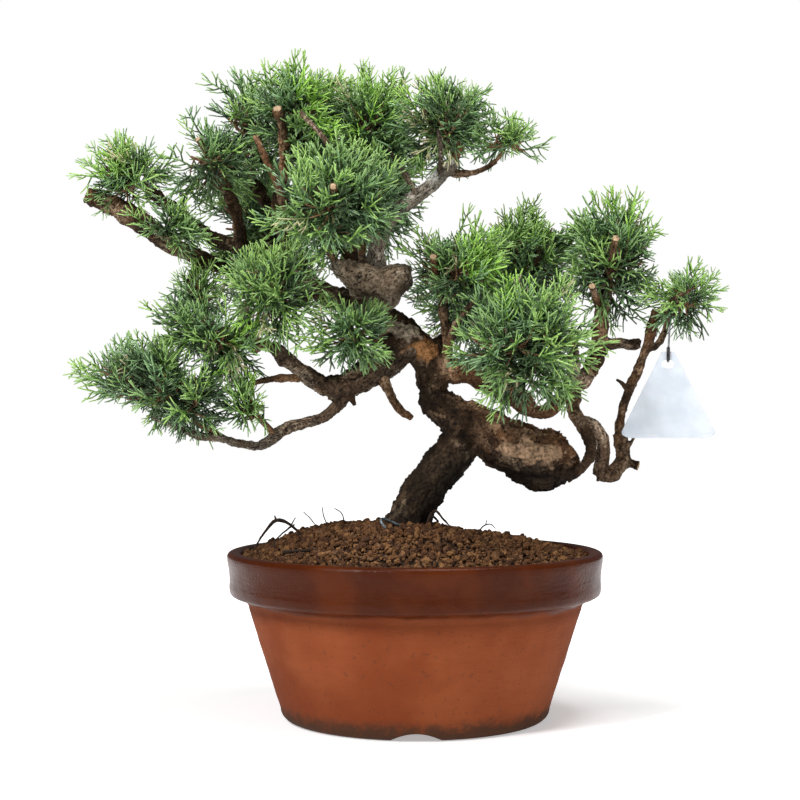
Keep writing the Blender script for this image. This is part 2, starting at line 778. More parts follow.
    def build(self) -> Thing:
        """Make the pot, cut its holes and notches, and dress it."""
        pot = shown("pot_shell", self.shell(), [FiredClay().material()])
        group = self.cutters()
        cut = pot.modifiers.new("cut", "BOOLEAN")
        cut.operation = "DIFFERENCE"
        cut.operand_type = "COLLECTION"
        cut.collection = group
        cut.solver = "EXACT"
        settled(pot)
        for cutter in list(group.objects):
            bpy.data.objects.remove(cutter, do_unlink=True)
        bpy.data.collections.remove(group)
        pot.data.set_sharp_from_angle(angle=math.radians(50.0))
        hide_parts("pot")
        return pot


# ------------ trunk and boughs


class Bark(Enum):
    """Kinds of wood: the tint of its plates, the tint of its pale ones, and its plates' scales.

    The scales are in plates to the metre, round the limb and along it.
    """

    OLD = ((0.058, 0.034, 0.018), (0.215, 0.145, 0.088), (42.0, 64.0))
    FOOT = ((0.056, 0.036, 0.021), (0.235, 0.178, 0.118), (46.0, 36.0))
    RED = ((0.135, 0.070, 0.034), (0.400, 0.255, 0.155), (48.0, 42.0))
    KNOT = ((0.400, 0.310, 0.220), (0.850, 0.740, 0.600), (70.0, 60.0))
    GREY = ((0.120, 0.082, 0.054), (0.400, 0.325, 0.245), (90.0, 40.0))
    DEAD = ((0.330, 0.290, 0.235), (0.600, 0.560, 0.490), (150.0, 20.0))
    YOUNG = ((0.200, 0.112, 0.060), (0.380, 0.260, 0.160), (150.0, 70.0))

    @property
    def tints(self) -> tuple[Colour, Colour]:
        """The tints of its plates and of its pale plates."""
        return self.value[:2]

    @property
    def plates(self) -> tuple[float, float]:
        """Its plates to the metre, round the limb and along it."""
        return self.value[2]


FURROW = np.array([0.008, 0.005, 0.003])
FRESH_CUT = np.array([0.44, 0.31, 0.19])

# Where the bark is off: centre, reach and tint of each place
WOUNDS = (
    (metres((8.5, -13, 274)), metres((11.5, 12, 10)), (0.400, 0.190, 0.075)),  # the sawn side
    (metres((-6, -13, 289)), metres((13, 12, 9)), (0.480, 0.390, 0.290)),  # dried wood above it
    (metres((86, -30, 200)), metres((19, 13, 11)), (0.330, 0.215, 0.130)),  # the burl's worn side
)


@dataclass(frozen=True)
class Limb:
    """A tapering limb in millimetres: its route as (x, y, z, radius), its solid's relief, its wood."""

    name: str
    bark: Bark
    route: Route
    relief: float = 0.0
    cut: bool = False  # whether its end is a clean saw cut

    @property
    def girth(self) -> float:
        """Its greatest radius, in metres."""
        return metres(self.route)[:, 3].max()

    def path(self, steps: int) -> Array:
        """Its smoothed route in metres, with so many rows from one point to the next."""
        return smooth_route(metres(self.route), steps)


# The limbs of the trunk, of the boughs on its left and of those on its right
TRUNK_LIMBS = (
    Limb("trunk_burl", Bark.RED, ((119, -8, 201, 10), (115, -8, 199, 18), (106, -8, 196, 21.5),
         (89, -7, 196, 23), (68, -4, 204, 21.5), (52, 0, 214, 18)), relief=2.2),
    Limb("trunk_curl", Bark.OLD, ((58, 0, 211, 18), (41, -3, 219, 15.4), (25, -5, 226, 14.2),
         (14, -4, 238, 12.4), (13, -2, 254, 11.8), (7, 0, 270, 12.6), (-7, 2, 285, 12.8),
         (-22, 4, 297, 10.8)), relief=1.6),
    Limb("trunk_foot", Bark.FOOT, ((-10, 0, 126, 18.5), (-8, 0, 137, 18), (-4, 0, 149, 15),
         (11, 3, 175, 13.8), (24, 5, 190, 15.4), (40, 7, 208, 15)), relief=1.6),
    Limb("main_bough", Bark.GREY, ((-16, 3, 292, 9.6), (-34, 6, 304, 9.4), (-53, 9, 310, 8.8),
         (-72, 10, 318, 8.6), (-87, 12, 332, 8.2)), relief=0.8),
    Limb("apex_bough", Bark.OLD, ((-82, 12, 325, 7.2), (-92, 12, 344, 7.4), (-98, 10, 366, 6.6),
         (-101, 6, 389, 5.2), (-98, 4, 412, 4)), relief=0.6),
    Limb("right_bough", Bark.RED, ((13, 0, 262, 9), (30, -4, 259, 9.4), (50, -8, 255, 9.4),
         (69, -10, 245, 8.8), (80, -13, 235, 7), (89, -16, 228, 5.6), (99, -16, 229, 4.8),
         (107, -13, 238, 5), (117, -10, 247, 7.8)), relief=0.6),
    Limb("left_bough", Bark.GREY, ((-2, -4, 280, 8.6), (-20, -10, 265, 10.6), (-35, -13, 255, 11.4),
         (-52, -15, 247, 9.4), (-69, -17, 248, 6.6), (-83, -18, 257, 6), (-95, -19, 267, 5.4),
         (-106, -20, 276, 4.6)), relief=0.8),
    Limb("knot", Bark.KNOT, ((-37, 4, 305, 7), (-23, -8, 311, 8.4), (-22, -15, 319, 10.6),
         (-36, -19, 324, 11.6), (-51, -20, 330, 8.8), (-60, -18, 338, 4)), relief=2.2),
)
LEFT_LIMBS = (
    Limb("low_left_bough", Bark.GREY, ((-48, -15, 245, 5), (-57, -18, 234, 4.6), (-69, -22, 223, 4.2),
         (-83, -26, 220, 4), (-96, -30, 215, 3.8), (-107, -34, 206, 3.6), (-117, -36, 203, 3.4),
         (-127, -38, 205, 3.2), (-138, -39, 208, 3))),
    Limb("bare_spur", Bark.RED, ((-25, -12, 259, 4.2), (-20, -18, 244, 3.4), (-13, -21, 231, 3),
         (-2, -22, 223, 2.4))),
    Limb("dead_bough", Bark.RED, ((-75, 11, 320, 6.2), (-94, 14, 319, 6.2), (-116, 14, 323, 6),
         (-138, 10, 335, 5.8), (-161, 4, 343, 5.8), (-183, -2, 353, 6.2), (-205, -7, 371, 7.6),
         (-227, -10, 381, 7.4), (-244, -12, 389, 5.6)), relief=0.8, cut=True),
    Limb("upper_left_bough", Bark.OLD, ((-94, 12, 345, 6.2), (-113, 13, 345, 6.2), (-132, 12, 351, 5.6),
         (-153, 8, 359, 5), (-169, 4, 371, 4.6), (-185, 0, 383, 4.2), (-198, -4, 392, 3.6))),
    Limb("upper_left_stub", Bark.OLD, ((-129, 13, 350, 4.6), (-132, 6, 364, 4.6), (-136, 2, 382, 4.4),
         (-144, -2, 403, 3.8)), cut=True),
    Limb("left_hanging_twig", Bark.OLD, ((-157, 5, 342, 4), (-163, -6, 333, 3.2),
         (-167, -14, 324, 2.6))),
    Limb("top_left_bough", Bark.OLD, ((-99, 10, 368, 5), (-112, 20, 385, 4.2), (-123, 26, 403, 3.6))),
    Limb("left_inner_twig", Bark.OLD, ((-76, 10, 320, 5), (-89, -6, 310, 3.8), (-98, -18, 304, 3.2))),
    Limb("back_left_bough", Bark.OLD, ((-75, 10, 321, 6), (-88, 38, 334, 5), (-102, 62, 350, 4))),
    Limb("back_bough", Bark.OLD, ((-50, 9, 310, 7), (-45, 36, 324, 5.4), (-41, 62, 348, 4.4))),
)
RIGHT_LIMBS = (
    Limb("right_riser", Bark.OLD, ((115, -10, 244, 6.6), (130, -6, 258, 6.8), (137, -2, 274, 6),
         (139, 2, 295, 5.6), (143, 4, 316, 4.6), (145, 4, 327, 3.8)), relief=0.5),
    Limb("side_stub", Bark.GREY, ((137, 0, 278, 4), (154, 2, 279, 3.8), (163, 4, 278, 4.4),
         (170, 4, 279, 3.4))),
    Limb("curl_twig", Bark.OLD, ((118, -10, 241, 5.2), (117, -15, 231, 4.6), (122, -20, 219, 4.2),
         (127, -24, 208, 3.8), (128, -26, 196, 3.6), (121, -28, 186, 3.4), (110, -29, 178, 3))),
    Limb("loop_twig", Bark.GREY, ((121, -19, 220, 3.6), (131, -14, 219, 4.6), (138, -10, 208, 4.6),
         (139, -8, 193, 4.8), (137, -8, 180, 5.6))),
    Limb("loop_elbow", Bark.OLD, ((136, -8, 182, 5), (146, -8, 181, 5.2), (154, -8, 191, 5.2),
         (154, -8, 203, 5), (151, -8, 212, 4.2))),
    Limb("outer_twig", Bark.RED, ((152, -8, 209, 3.4), (153, -8, 225, 3), (159, -8, 243, 3.2),
         (167, -8, 262, 3.2), (174, -8, 281, 3.4), (180, -8, 304, 3.2)), cut=True),
    Limb("outer_side_twig", Bark.OLD, ((172, -8, 274, 2.4), (179, -12, 277, 2.1), (184, -14, 285, 2),
         (187, -15, 296, 1.9), (192, -15, 303, 1.8))),
    Limb("top_bough", Bark.OLD, ((-42, -17, 326, 5.6), (-49, -4, 349, 5.2), (-55, 6, 372, 4.6),
         (-60, 10, 397, 3.8))),
    Limb("top_right_bough", Bark.DEAD, ((-28, -15, 324, 7), (-29, -10, 347, 6.2), (-22, -8, 369, 5.8),
         (-5, -8, 384, 5.4), (11, -10, 396, 5.2), (30, -12, 414, 4.4)), cut=True),
    Limb("top_right_twig", Bark.RED, ((22, -12, 406, 3), (35, -14, 404, 2.6), (48, -16, 406, 2.2),
         (60, -18, 413, 1.9))),
    Limb("low_centre_twig", Bark.OLD, ((-8, 0, 280, 5), (-23, -22, 280, 4), (-34, -32, 280, 3.2))),
    Limb("right_inner_twig", Bark.OLD, ((23, -3, 261, 4.4), (24, -12, 280, 3.6), (21, -18, 302, 3.2),
         (18, -20, 318, 3))),
    Limb("right_front_twig", Bark.OLD, ((62, -10, 250, 5), (67, -26, 262, 3.6), (70, -36, 270, 3))),
    Limb("right_back_bough", Bark.OLD, ((72, -10, 243, 6), (83, 14, 262, 5), (91, 28, 287, 4.4),
         (96, 34, 310, 3.6))),
    Limb("back_right_bough", Bark.OLD, ((10, -1, 267, 8), (26, 30, 286, 5.4), (39, 54, 301, 4))),
)
LIMBS = TRUNK_LIMBS + LEFT_LIMBS + RIGHT_LIMBS

# Spurs, stubs and twigs too fine to be solids, which grow out of those limbs
TRUNK_SPURS = (
    Limb("knot_shoulder", Bark.KNOT, ((-33, -14, 320, 11), (-20, -16, 324, 12.2), (-9, -15, 327, 10.4),
         (-2, -13, 329, 6))),
)
LEFT_SPURS = (
    Limb("bare_twig", Bark.RED, ((-92, 6, 344, 3.6), (-91.6, -30, 353.6, 3.2), (-95.7, -46, 380.9, 3),
         (-106.3, -48, 405.9, 2.5), (-115.9, -45, 428, 1.8))),
    Limb("top_stump", Bark.RED, ((-98, 4, 398, 3.4), (-96.8, -30, 432.5, 3),
         (-99.9, -47, 447.1, 3)), cut=True),
    Limb("top_twig", Bark.GREY, ((-60, 10, 392, 2.4), (-58.2, -45, 406.3, 1.8),
         (-65.1, -52, 423.3, 1.6), (-83.3, -47, 444.2, 1.2))),
    Limb("front_stump", Bark.RED, ((-50, -4, 352, 3.6), (-56.3, -75, 380.3, 2.1),
         (-57.3, -104, 383.7, 2.1)), cut=True),
    Limb("dead_twig_low", Bark.GREY, ((-0.1, -12, 390.9, 2.2), (-9.8, -36, 403.9, 1.8),
         (-19.9, -50, 417.8, 1.2))),
    Limb("under_stub", Bark.OLD, ((-49, -15, 245.5, 3.4), (-46.6, -19, 238.1, 2.6),
         (-44.4, -20, 232.2, 1.4))),
    Limb("left_twig", Bark.YOUNG, ((-85, -18, 252.8, 3), (-102.9, -26, 252, 2.2),
         (-127.6, -36, 246.8, 1.3))),
    Limb("left_tip_twig", Bark.RED, ((-106.3, -20, 275.7, 3), (-131.5, -34, 276.7, 2.4),
         (-144.5, -48, 286.3, 1.8), (-152.7, -52, 294.8, 1.2))),
    Limb("stub_tip", Bark.RED, ((-144.3, -2, 401, 3.4), (-148.7, -16, 413.3, 2.6),
         (-159.6, -30, 427.4, 2.2)), cut=True),
    Limb("mid_stub", Bark.GREY, ((-115.7, -22, 271.9, 3.6), (-122.5, -28, 284.9, 3.2),
         (-123.2, -52, 305.5, 3)), cut=True),
    Limb("low_left_tip", Bark.GREY, ((-136, -39, 207.5, 3), (-155.7, -45, 210.6, 2.4),
         (-173.3, -48, 217.1, 1.8), (-191, -50, 224.4, 1.1))),
)
RIGHT_SPURS = (
    Limb("dead_twig_high", Bark.GREY, ((18.5, -10, 400, 2), (18.7, -32, 417.6, 1.7),
         (16.3, -40, 433.8, 1.1))),
    Limb("inner_stump", Bark.RED, ((18, -20, 316, 2.6), (15.6, -38, 327.4, 2.2),
         (12.3, -60, 339.3, 2.2)), cut=True),
    Limb("fork_twig", Bark.YOUNG, ((22.2, -8, 255.9, 2.8), (24.8, -24, 277, 2.2),
         (28.5, -45, 290.8, 1.9), (42.2, -62, 307.8, 1.3))),
    Limb("elbow_stub", Bark.GREY, ((118.5, -12, 251.4, 4.6), (115.8, -24, 271.9, 3.6),
         (114.5, -30, 287.8, 3.4)), cut=True),
    Limb("elbow_knob", Bark.GREY, ((120.2, -10, 247, 5.2), (125, -14, 251.4, 5.6),
         (129, -18, 257.3, 4.4)), cut=True),
    Limb("loop_stub", Bark.OLD, ((152, -8, 188, 4), (159.9, -8, 189, 3.2),
         (166.3, -10, 187.6, 2.4)), cut=True),
    Limb("loop_sprout", Bark.OLD, ((156.2, -8, 194.9, 2), (158.9, -10, 202.4, 1.3),
         (162.3, -12, 209.2, 0.9))),
    Limb("outer_sprout", Bark.OLD, ((159.1, -8, 242.6, 2), (154.4, -10, 248.5, 1.2),
         (149, -12, 252.2, 0.9))),
    Limb("riser_stub", Bark.RED, ((138.7, 2, 298.1, 3.6), (133.7, -22, 308.7, 2.2),
         (127.1, -48, 318.7, 2.2)), cut=True),
    Limb("riser_tip", Bark.RED, ((145, 4, 325.2, 3.4), (144.2, -26, 340.7, 2.6),
         (144.4, -48, 353.3, 2.5)), cut=True),
    Limb("far_twig", Bark.OLD, ((181.9, -10, 297.5, 2.2), (187.6, -30, 309.7, 1.6),
         (199.1, -40, 316.4, 1.1))),
)


@dataclass
class Grain:
    """Where points lie along their nearest limbs, which is what the bark's pattern follows.

    A point's grain coordinates are its two offsets from the limb's axis and the length along it, so
    that a noise of them, stretched along the third, runs with the wood and closes all round.
    """

    limbs: Sequence[Limb]
    steps: int = 6
    blend: float = 0.0045  # two limbs share the bark where their surfaces are this close

    def __post_init__(self) -> None:
        """Lay out the segments of all the limbs as arrays."""
        rows = []
        for number, limb in enumerate(self.limbs):
            path = limb.path(self.steps)
            side, other, _ = carried_frames(path[:, :3])
            line = np.diff(path[:, :3], axis=0)
            length = lengths(line)
            run = np.concatenate([[0.0], np.cumsum(length)])
            rows.append(np.column_stack([
                path[:-1, :3], line, side[:-1], other[:-1], path[:-1, 3], np.diff(path[:, 3]),
                run[:-1], length, np.full(len(line), number), np.full(len(line), run[-1])]))
        self.table = np.vstack(rows)

    def nearest(self, points: Array) -> list[dict[str, Array]]:
        """The nearest limb to each point, and the nearest of the other limbs.

        A point's gap to a segment is its distance to the segment's line less the radius there.

        Args:
            points: Places, three to a row.

        Returns:
            Two sets of arrays: grain coordinates, limb number, radius, gap, and length left to the end.
        """
        start, line, side, other = np.split(self.table[:, :12], 4, axis=1)
        radius, growth, run, length, number, total = self.table[:, 12:].T
        found = [[], []]
        for block in np.array_split(points, max(1, len(points) // 4000)):
            offset = block[:, None] - start[None]
            share = np.clip((offset * line).sum(axis=2) / length ** 2, 0.0, 1.0)
            away = offset - share[:, :, None] * line
            gap = lengths(away) - (radius + growth * share)
            rows = np.arange(len(block))
            best = gap.argmin(axis=1)
            again = np.where(number[None] == number[best][:, None], np.inf, gap)
            for store, pick in zip(found, (best, again.argmin(axis=1))):
                arm = away[rows, pick]
                along = run[pick] + share[rows, pick] * length[pick]
                store.append(np.column_stack([
                    (arm * side[pick]).sum(axis=1), (arm * other[pick]).sum(axis=1), along, number[pick],
                    (radius + growth * share)[rows, pick], gap[rows, pick], total[pick] - along]))
        tables = [np.vstack(store) for store in found]
        return [{"grain": table[:, :3], "limb": table[:, 3].astype(int), "radius": table[:, 4],
                 "gap": table[:, 5], "left": table[:, 6]} for table in tables]


@dataclass
class Wood:
    """Limbs grown together into one mesh, with bark in relief on it.

    The limbs' tubes are joined by a voxel remesh, softened, and pushed along their normals by the
    bark's relief, which is a sum of lumps, stepped flakes and long strips in grain coordinates.
    """

    name: str
    solids: tuple[Limb, ...]
    spurs: tuple[Limb, ...]
    voxel: float = 0.00100
    swell: float = 0.0003  # makes up for what the softening takes off
    full_radius: float = 0.013  # limbs this thick have the whole relief
    columns: int = 28
    lump: float = 0.0024  # heights of the relief's parts, from lumps down to grit
    flake: float = 0.0010
    small_flake: float = 0.0005
    strip: float = 0.0007
    grit: float = 0.0003
    cut_face: float = 0.0004  # a saw cut's fresh colour reaches this far back,
    cut_edge: float = 0.0008  # and its flatness this far

    @property
    def limbs(self) -> tuple[Limb, ...]:
        """The limbs that are solids, and the spurs."""
        return self.solids + self.spurs

    def tubes(self) -> Facets:
        """The limbs' plain tubes, each a little swollen."""
        parts = []
        for limb in self.limbs:
            path = limb.path(6)
            path[:, 3] += self.swell
            parts.append(tube(path, self.columns))
        return joined(parts)

    def fused(self) -> tuple[Array, Array, Array]:
        """The tubes remeshed as one skin: its points, its quads and its points' normals."""
        thing = shown(self.name + "_core", self.tubes(), [])
        fuse = thing.modifiers.new("fuse", "REMESH")
        fuse.mode = "VOXEL"
        fuse.voxel_size = self.voxel
        soften = thing.modifiers.new("soften", "SMOOTH")
        soften.factor = 0.5
        soften.iterations = 4
        mesh = settled(thing).data
        points = np.empty(3 * len(mesh.vertices))
        mesh.vertices.foreach_get("co", points)
        normals = np.empty(3 * len(mesh.vertices))
        mesh.vertex_normals.foreach_get("vector", normals)
        corners = np.empty(len(mesh.loops), dtype=np.int32)
        mesh.loops.foreach_get("vertex_index", corners)
        bpy.data.objects.remove(thing, do_unlink=True)
        return points.reshape(-1, 3), corners.reshape(-1, 4), normals.reshape(-1, 3)

    def relief(self, near: dict[str, Array], points: Array) -> tuple[Array, Array, Array]:
        """The bark over the wood: flakes that overlap in steps, broken by strips and lumps.

        Args:
            near: Grain coordinates, limb number and radius, as Grain.nearest gives them.
            points: The points themselves, for lumps that don't follow the grain.

        Returns:
            Heights in metres, depths from 0 on a flake to 1 at its foot, and a value for each flake.
        """
        shift = near["limb"][:, None] * 7.31
        scale = np.sqrt(np.clip(near["radius"] / self.full_radius, 0.10, 1.6))[:, None]
        plates = np.array([limb.bark.plates for limb in self.limbs])[near["limb"]]
        grain = near["grain"] * (plates[:, [0, 0, 1]] / np.maximum(scale, 0.5)) + shift
        ragged = layered_noise(points * 420.0, 2, 19)
        level, past = terraces(4.4 * layered_noise(grain, 3, 11) + 0.55 * ragged)
        small, past_small = terraces(3.0 * layered_noise(2.7 * grain, 2, 13) + 0.50 * ragged)
        strips = ridged_noise(near["grain"] * np.array([260.0, 260.0, 40.0]) / scale + shift, 3, 17)
        lumps = layered_noise(points * 52.0, 3, 23)
        height = (self.lump * lumps + self.flake * (level + 0.3 * past)
                  + self.small_flake * (small + 0.3 * past_small)
                  + self.strip * (strips - 0.6) + self.grit * ragged)
        feet = 0.95 * clamped((past - 0.80) / 0.14) + 0.55 * clamped((past_small - 0.78) / 0.16)
        depth = clamped(feet + 0.8 * clamped(0.52 - strips))
        value = np.sin(2.4 * level + 1.7 * small + near["limb"]) + 0.5 * clamped(1.0 - past / 0.2)
        return height * scale[:, 0] ** 1.4, depth, value

    def tints(self, near: dict[str, Array], points: Array, normals: Array, depth: Array,
              value: Array) -> Array:
        """Colour of each point: its plate's tint, warmer and cooler in drifts, dark in cracks and below.

        Args:
            near: As for relief.
            points: The points.
            normals: Their normals.
            depth: Their depths, as relief gives them.
            value: Their flakes' values, likewise.

        Returns:
            Linear colours, three to a row.
        """
        pairs = np.array([limb.bark.tints for limb in self.limbs])[near["limb"]]
        drift = near["grain"] * np.array([90.0, 90.0, 40.0]) + 3.7 * near["limb"][:, None]
        patch = clamped((layered_noise(drift, 3, 41) + 0.20 * value - 0.06) * 3.2)[:, None]
        colour = pairs[:, 0] + patch * (pairs[:, 1] - pairs[:, 0])
        warm = np.clip(layered_noise(points * 24.0, 2, 43) * 1.5, -1.0, 1.0)[:, None]
        colour = colour * (1.0 + warm * np.array([0.24, 0.10, 0.0]))
        mottle = layered_noise(points * 260.0, 2, 47)[:, None]
        shade = clamped(3.0 * layered_noise(points * 55.0, 2, 45))[:, None]
        colour = colour * (1.0 + 0.34 * mottle) * (1.0 - 0.55 * shade)
        foot = np.array([limb.bark is Bark.FOOT for limb in self.limbs])[near["limb"]]
        side = np.where(foot, 1.1 * normals[:, 0] - 0.2, 0.35 * np.minimum(normals[:, 0], 0.0))
        damp = clamped(0.30 - 0.95 * normals[:, 2] + side)
        thick = clamped(near["radius"] / self.full_radius - 0.25)
        colour = colour * (1.0 - 0.85 * damp * thick)[:, None]
        colour = colour + depth[:, None] ** 0.7 * (FURROW - colour)
        for place, reach, tone in WOUNDS:
            away = lengths((points - place) / reach)
            away = away + 1.1 * layered_noise(points * 110.0, 3, 53)
            bare = clamped(4.0 * (1.0 - away))[:, None] * (1.0 - 0.6 * depth[:, None])
            colour = colour + bare * (tone * (1.0 + 0.5 * mottle) - colour)
        ends = self.sawn(near, self.cut_face)
        colour[ends] = FRESH_CUT * (1.0 + 0.25 * mottle[ends])
        return np.clip(colour, 0.004, 0.9)

    def sawn(self, near: dict[str, Array], reach: float) -> Array:
        """Whether each point is this close to the sawn end of its limb."""
        return np.array([limb.cut for limb in self.limbs])[near["limb"]] & (near["left"] < reach)

    def build(self, bark: Material) -> Thing:
        """Make the skin, push it by the bark's relief, and keep its tints in it."""
        points, quads, normals = self.fused()
        grain = Grain(self.limbs)
        first, second = grain.nearest(points)
        share = np.clip(0.5 + (second["gap"] - first["gap"]) / (2.0 * grain.blend), 0.5, 1.0)
        skins = []
        for near in (first, second):
            height, depth, value = self.relief(near, points)
            skins.append((height, self.tints(near, points, normals, depth, value)))
        (height, colour), (height_b, colour_b) = skins
        height = share * height + (1.0 - share) * height_b
        colour = share[:, None] * colour + (1.0 - share[:, None]) * colour_b
        height[self.sawn(first, self.cut_edge)] = 0.0
        skin = Facets(points + normals * height[:, None], [(quads, np.zeros(len(quads), int))])
        wood = shown(self.name, skin, [bark], colour)
        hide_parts(*[limb.name for limb in self.solids])
        return wood


# ------------ foliage


@dataclass(frozen=True)
class Mass:
    """A mass of foliage: its bough, and the centre and reach of its space in millimetres."""

    name: str
    bough: str
    centre: Point
    reach: Point
    along: float = 1.0
    tilt: float = 0.0
    seed: int = 1


MASSES = (
    Mass("low_left", "low_left_bough", (-172, -44, 245), (78, 48, 33), tilt=13.0, seed=20),
    Mass("low_inner", "low_left_bough", (-121, -44, 232), (32, 30, 26), along=0.55, seed=6),
    Mass("middle_left", "left_bough", (-147, -36, 283), (64, 44, 31), tilt=10.0, seed=6),
    Mass("left_hanging", "left_hanging_twig", (-158, -14, 311), (28, 32, 31), seed=3),
    Mass("left_inner", "left_inner_twig", (-104, -46, 312), (44, 42, 42), seed=19),
    Mass("upper_left", "upper_left_bough", (-210, -8, 400), (42, 42, 34), seed=12),
    Mass("under_left", "dead_bough", (-180, -22, 361), (44, 36, 22), along=0.62, seed=24),
    Mass("left_shoulder", "upper_left_stub", (-153, -10, 412), (38, 42, 41), seed=24),
    Mass("top_left", "top_left_bough", (-130, 30, 440), (46, 50, 48), seed=7),
    Mass("top", "apex_bough", (-86, 4, 446), (48, 52, 47), seed=12),
    Mass("top_middle", "top_bough", (-36, 10, 440), (48, 52, 48), seed=9),
    Mass("top_right", "top_right_bough", (24, -8, 439), (48, 50, 40), seed=9),
    Mass("top_right_tip", "top_right_twig", (65, -18, 428), (36, 30, 25), seed=19),
    Mass("centre", "knot", (-58, -60, 373), (56, 46, 50), seed=24),
    Mass("low_centre", "low_centre_twig", (-46, -46, 284), (42, 38, 30), seed=12),
    Mass("right_inner", "right_inner_twig", (30, -30, 328), (46, 46, 46), seed=9),
    Mass("right_front", "right_front_twig", (77, -60, 275), (60, 46, 51), seed=2),
    Mass("right_back", "right_back_bough", (90, 34, 345), (52, 50, 46), seed=15),
    Mass("right_top", "right_riser", (148, 2, 339), (48, 48, 54), seed=23),
    Mass("right_far", "outer_side_twig", (198, -16, 311), (37, 36, 28), seed=10),
    Mass("back_left", "back_left_bough", (-131, 86, 375), (60, 56, 56), seed=17),
    Mass("back", "back_bough", (-48, 98, 402), (62, 58, 60), seed=18),
    Mass("back_right", "back_right_bough", (62, 86, 316), (64, 58, 50), seed=7),
)

# Pieces of shoots, and the masses that each stands for
SHOOT_PIECES = {
    "shoots_low_left": ("low_left", "low_inner", "middle_left"),
    "shoots_left": ("left_hanging", "left_inner", "upper_left", "under_left", "left_shoulder"),
    "shoots_top_left": ("top_left", "top", "centre"),
    "shoots_top_right": ("top_middle", "top_right", "top_right_tip", "low_centre"),
    "shoots_right": ("right_inner", "right_front", "right_back"),
    "shoots_far_right": ("right_top", "right_far", "back_right"),
    "shoots_back": ("back_left", "back"),
}

# Places kept open so that the wood behind them shows: centre and reach of each
CLEARINGS = metres((
    ((-30, -75, 328), (40, 70, 20)),  # before the knot
    ((2, -70, 288), (22, 70, 26)),  # before the curl's top
    ((-137, -50, 375), (8, 60, 30)),  # before the upper left stub
    ((-143, 20, 444), (7, 120, 9)), ((-168, 20, 419), (11, 120, 9)), ((-196, 20, 434), (18, 100, 10)),
    ((-60, 20, 487), (10, 120, 7)), ((45, 20, 480), (20, 120, 12)), ((-151, 20, 373), (9, 120, 12)),
    ((-194, 0, 347), (16, 80, 8)), ((-240, -20, 277), (20, 80, 10)), ((-162, -20, 262), (11, 80, 8)),
    ((-110, -20, 240), (8, 80, 6)), ((-217, -20, 226), (20, 80, 10)), ((-141, -10, 296), (6, 80, 6)),
    ((19, 0, 367), (15, 100, 13)), ((38, -20, 247), (12, 80, 10)), ((136, -20, 254), (12, 60, 14)),
    ((85, -10, 412), (26, 60, 8)), ((84, -10, 450), (12, 80, 10)), ((109, 20, 376), (7, 120, 8)),
    ((186, -10, 344), (10, 80, 14)), ((234, -10, 326), (11, 80, 22))
))

# Places where the young growth is brightest: centre and radius of each
FRESH_PLACES = metres((
    (-85, -20, 478, 20), (-26, -20, 476, 20), (-60, -40, 442, 18), (58, -50, 346, 22),
    (64, -60, 322, 22), (-128, -50, 276, 20), (148, -30, 382, 16), (-226, -20, 420, 14),
    (206, -30, 322, 14)
))


def capsules(path: Array, extra: float = 0.0) -> Array:
    """A path as rows of start, end and radius, for measuring distances to it."""
    radii = np.maximum(path[:-1, 3], path[1:, 3]) + extra
    return np.hstack([path[:-1, :3], path[1:, :3], radii[:, None]])


def outside(points: Array, rows: Array) -> Array:
    """Whether each point lies outside every capsule: its distance to the line is over the radius."""
    start, end, radius = rows[:, :3], rows[:, 3:6], rows[:, 6]
    line = end - start
    offset = points[:, None, :] - start[None, :, :]
    share = np.einsum("pci,ci->pc", offset, line) / np.einsum("ci,ci->c", line, line)
    away = offset - np.clip(share, 0.0, 1.0)[:, :, None] * line
    return (lengths(away) > radius).all(axis=1)


def turn_of(mass: Mass) -> Array:
    """The rotation of a mass's space, which raises its left end."""
    return np.array(Matrix.Rotation(math.radians(mass.tilt), 3, "Y"))


def even_directions(count: int, turn: float) -> Array:
    """Directions spread evenly over a sphere: equal steps of height, turned on by the golden angle."""
    heights = 1.0 - (2.0 * np.arange(count) + 1.0) / count
    angles = GOLDEN_ANGLE * np.arange(count) + turn
    around = np.sqrt(1.0 - heights ** 2)
    return np.column_stack([around * np.cos(angles), around * np.sin(angles), heights])


@dataclass
class Space:
    """What one mass may fill: an ellipsoid, less its neighbours' side, the limbs and the clearings."""

    centre: Array
    reach: Array
    turn: Array
    walls: list[tuple[Array, Array]]
    obstacles: Array
    margin: float = 1.15
    overlap: float = 0.018  # how far shoots may pass the plane between two masses

    def holds(self, points: Array) -> Array:
        """Whether each group of points lies in the space.

        Args:
            points: Groups of points, as (groups, points in a group, 3).

        Returns:
            One truth value for each group.
        """
        flat = points.reshape(-1, 3)
        inside = lengths((flat - self.centre) @ self.turn / self.reach) < self.margin
        for place, normal in self.walls:
            inside &= (flat - place) @ normal < self.overlap
        for centre, reach in CLEARINGS:
            inside &= lengths((flat - centre) / reach) > 1.0
        inside[inside] = outside(flat[inside], self.obstacles)
        return inside.reshape(points.shape[:-1]).all(axis=1)

    def run_along(self, ways: Array) -> Array:
        """How far the space runs from its centre along each vector, as a share of the vector."""
        run = np.ones(len(ways))
        for place, normal in self.walls:
            climb = ways @ normal
            limit = ((place - self.centre) @ normal) / np.where(climb > 1e-9, climb, 1.0)
            run = np.where(climb > 1e-9, np.minimum(run, limit), run)
        return run


